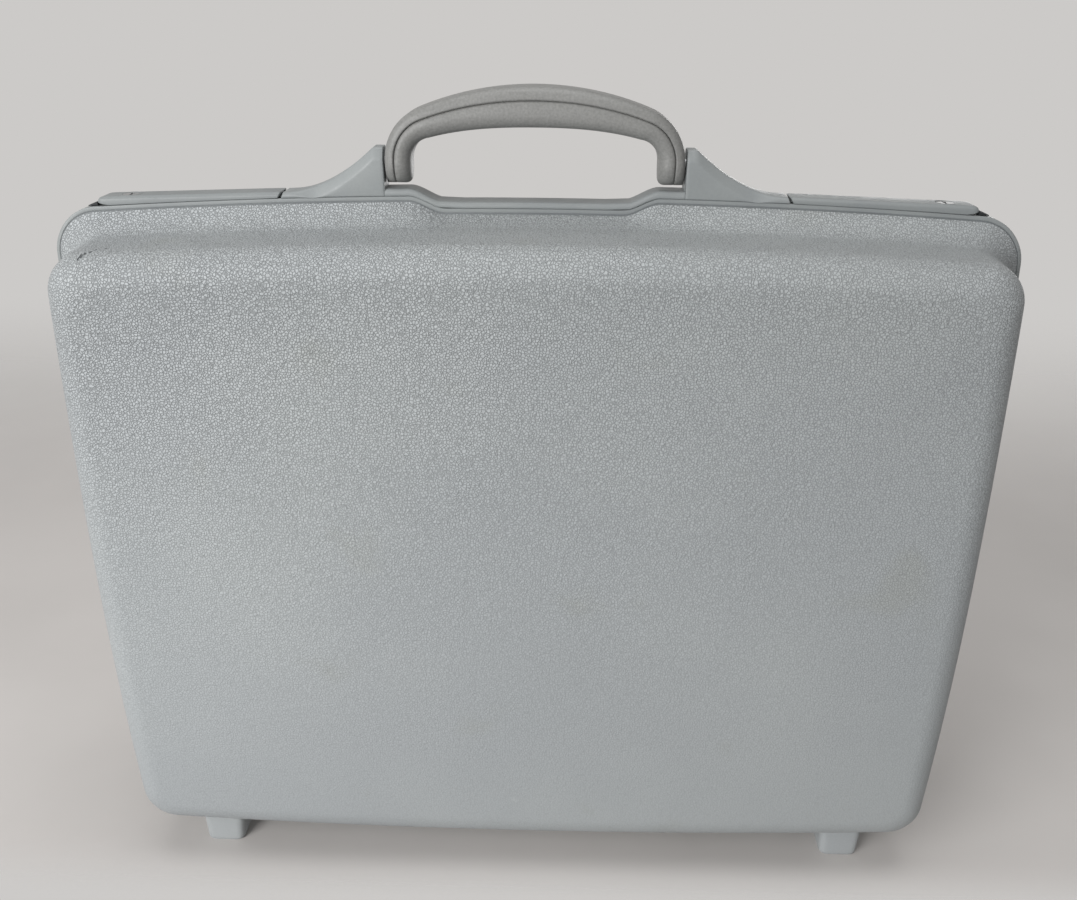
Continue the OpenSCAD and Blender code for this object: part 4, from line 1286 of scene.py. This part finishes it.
def make_floor():
    """Pale floor. It ends just in front of the case, where the open lid hangs below it."""
    corners = [(-FLOOR_SIDE, FLOOR_FRONT, 0), (FLOOR_SIDE, FLOOR_FRONT, 0)]
    corners += [(FLOOR_SIDE, FLOOR_BACK, 0), (-FLOOR_SIDE, FLOOR_BACK, 0)]
    mesh = bpy.data.meshes.new("floor")
    mesh.from_pydata(corners, [], [(0, 1, 2, 3)])
    floor = bpy.data.objects.new("floor", mesh)
    bpy.context.scene.collection.objects.link(floor)
    mesh.materials.append(floor_paint())


def make_world():
    """Soft light from all round, and a pale backdrop seen directly and in reflections."""
    world = bpy.data.worlds.new("studio")
    world.use_nodes = True
    tree = world.node_tree
    light = tree.nodes["Background"]
    light.inputs["Color"].default_value = (*tone(205, 204, 203), 1)
    light.inputs["Strength"].default_value = WORLD_LIGHT
    backdrop = tree.nodes.new("ShaderNodeBackground")
    backdrop.inputs["Color"].default_value = (*tone(204, 202, 200), 1)
    seen = tree.nodes.new("ShaderNodeLightPath")
    mix = tree.nodes.new("ShaderNodeMixShader")
    share = seen.outputs["Is Camera Ray"]
    for kind in ("Is Glossy Ray", "Is Transmission Ray"):
        most = tree.nodes.new("ShaderNodeMath")
        most.operation = "MAXIMUM"
        tree.links.new(share, most.inputs[0])
        tree.links.new(seen.outputs[kind], most.inputs[1])
        share = most.outputs["Value"]
    tree.links.new(share, mix.inputs["Fac"])
    tree.links.new(light.outputs["Background"], mix.inputs[1])
    tree.links.new(backdrop.outputs["Background"], mix.inputs[2])
    tree.links.new(mix.outputs["Shader"], tree.nodes["World Output"].inputs["Surface"])
    bpy.context.scene.world = world


def add_lamp(name, place, size, power):
    """A round area lamp that points at the case."""
    light = bpy.data.lights.new(name, "AREA")
    light.shape = "DISK"
    light.size = size
    light.energy = power
    lamp = bpy.data.objects.new(name, light)
    lamp.location = place
    aim = Vector(LAMP_TARGET) - Vector(place)
    lamp.rotation_euler = aim.to_track_quat("-Z", "Y").to_euler()
    bpy.context.scene.collection.objects.link(lamp)


def add_camera():
    """The photograph's view: place in mm and angles in degrees from a fit to it."""
    place = (14.1, -480.3, 437.6)
    yaw, pitch, roll = (math.radians(a) for a in (-1.39, 23.67, 0.37))
    focal_px, width_px = 1042.4, 1077
    level = math.cos(pitch)
    forward = Vector((math.sin(yaw) * level, math.cos(yaw) * level, -math.sin(pitch)))
    right = Vector((math.cos(yaw), -math.sin(yaw), 0))
    up = right.cross(forward)
    side = right * math.cos(roll) + up * math.sin(roll)
    top = up * math.cos(roll) - right * math.sin(roll)
    data = bpy.data.cameras.new("camera")
    data.sensor_width = 36
    data.lens = focal_px * data.sensor_width / width_px
    data.clip_start = 0.01
    camera = bpy.data.objects.new("camera", data)
    turn = Matrix((side, top, -forward)).transposed()
    camera.matrix_world = Matrix.Translation(Vector(place) * MM) @ turn.to_4x4()
    bpy.context.scene.collection.objects.link(camera)
    bpy.context.scene.camera = camera


make_floor()
make_world()
for name, (place, size, power) in LAMPS.items():
    add_lamp(name, place, size, power)
add_camera()
bpy.context.scene.view_settings.view_transform = "Standard"
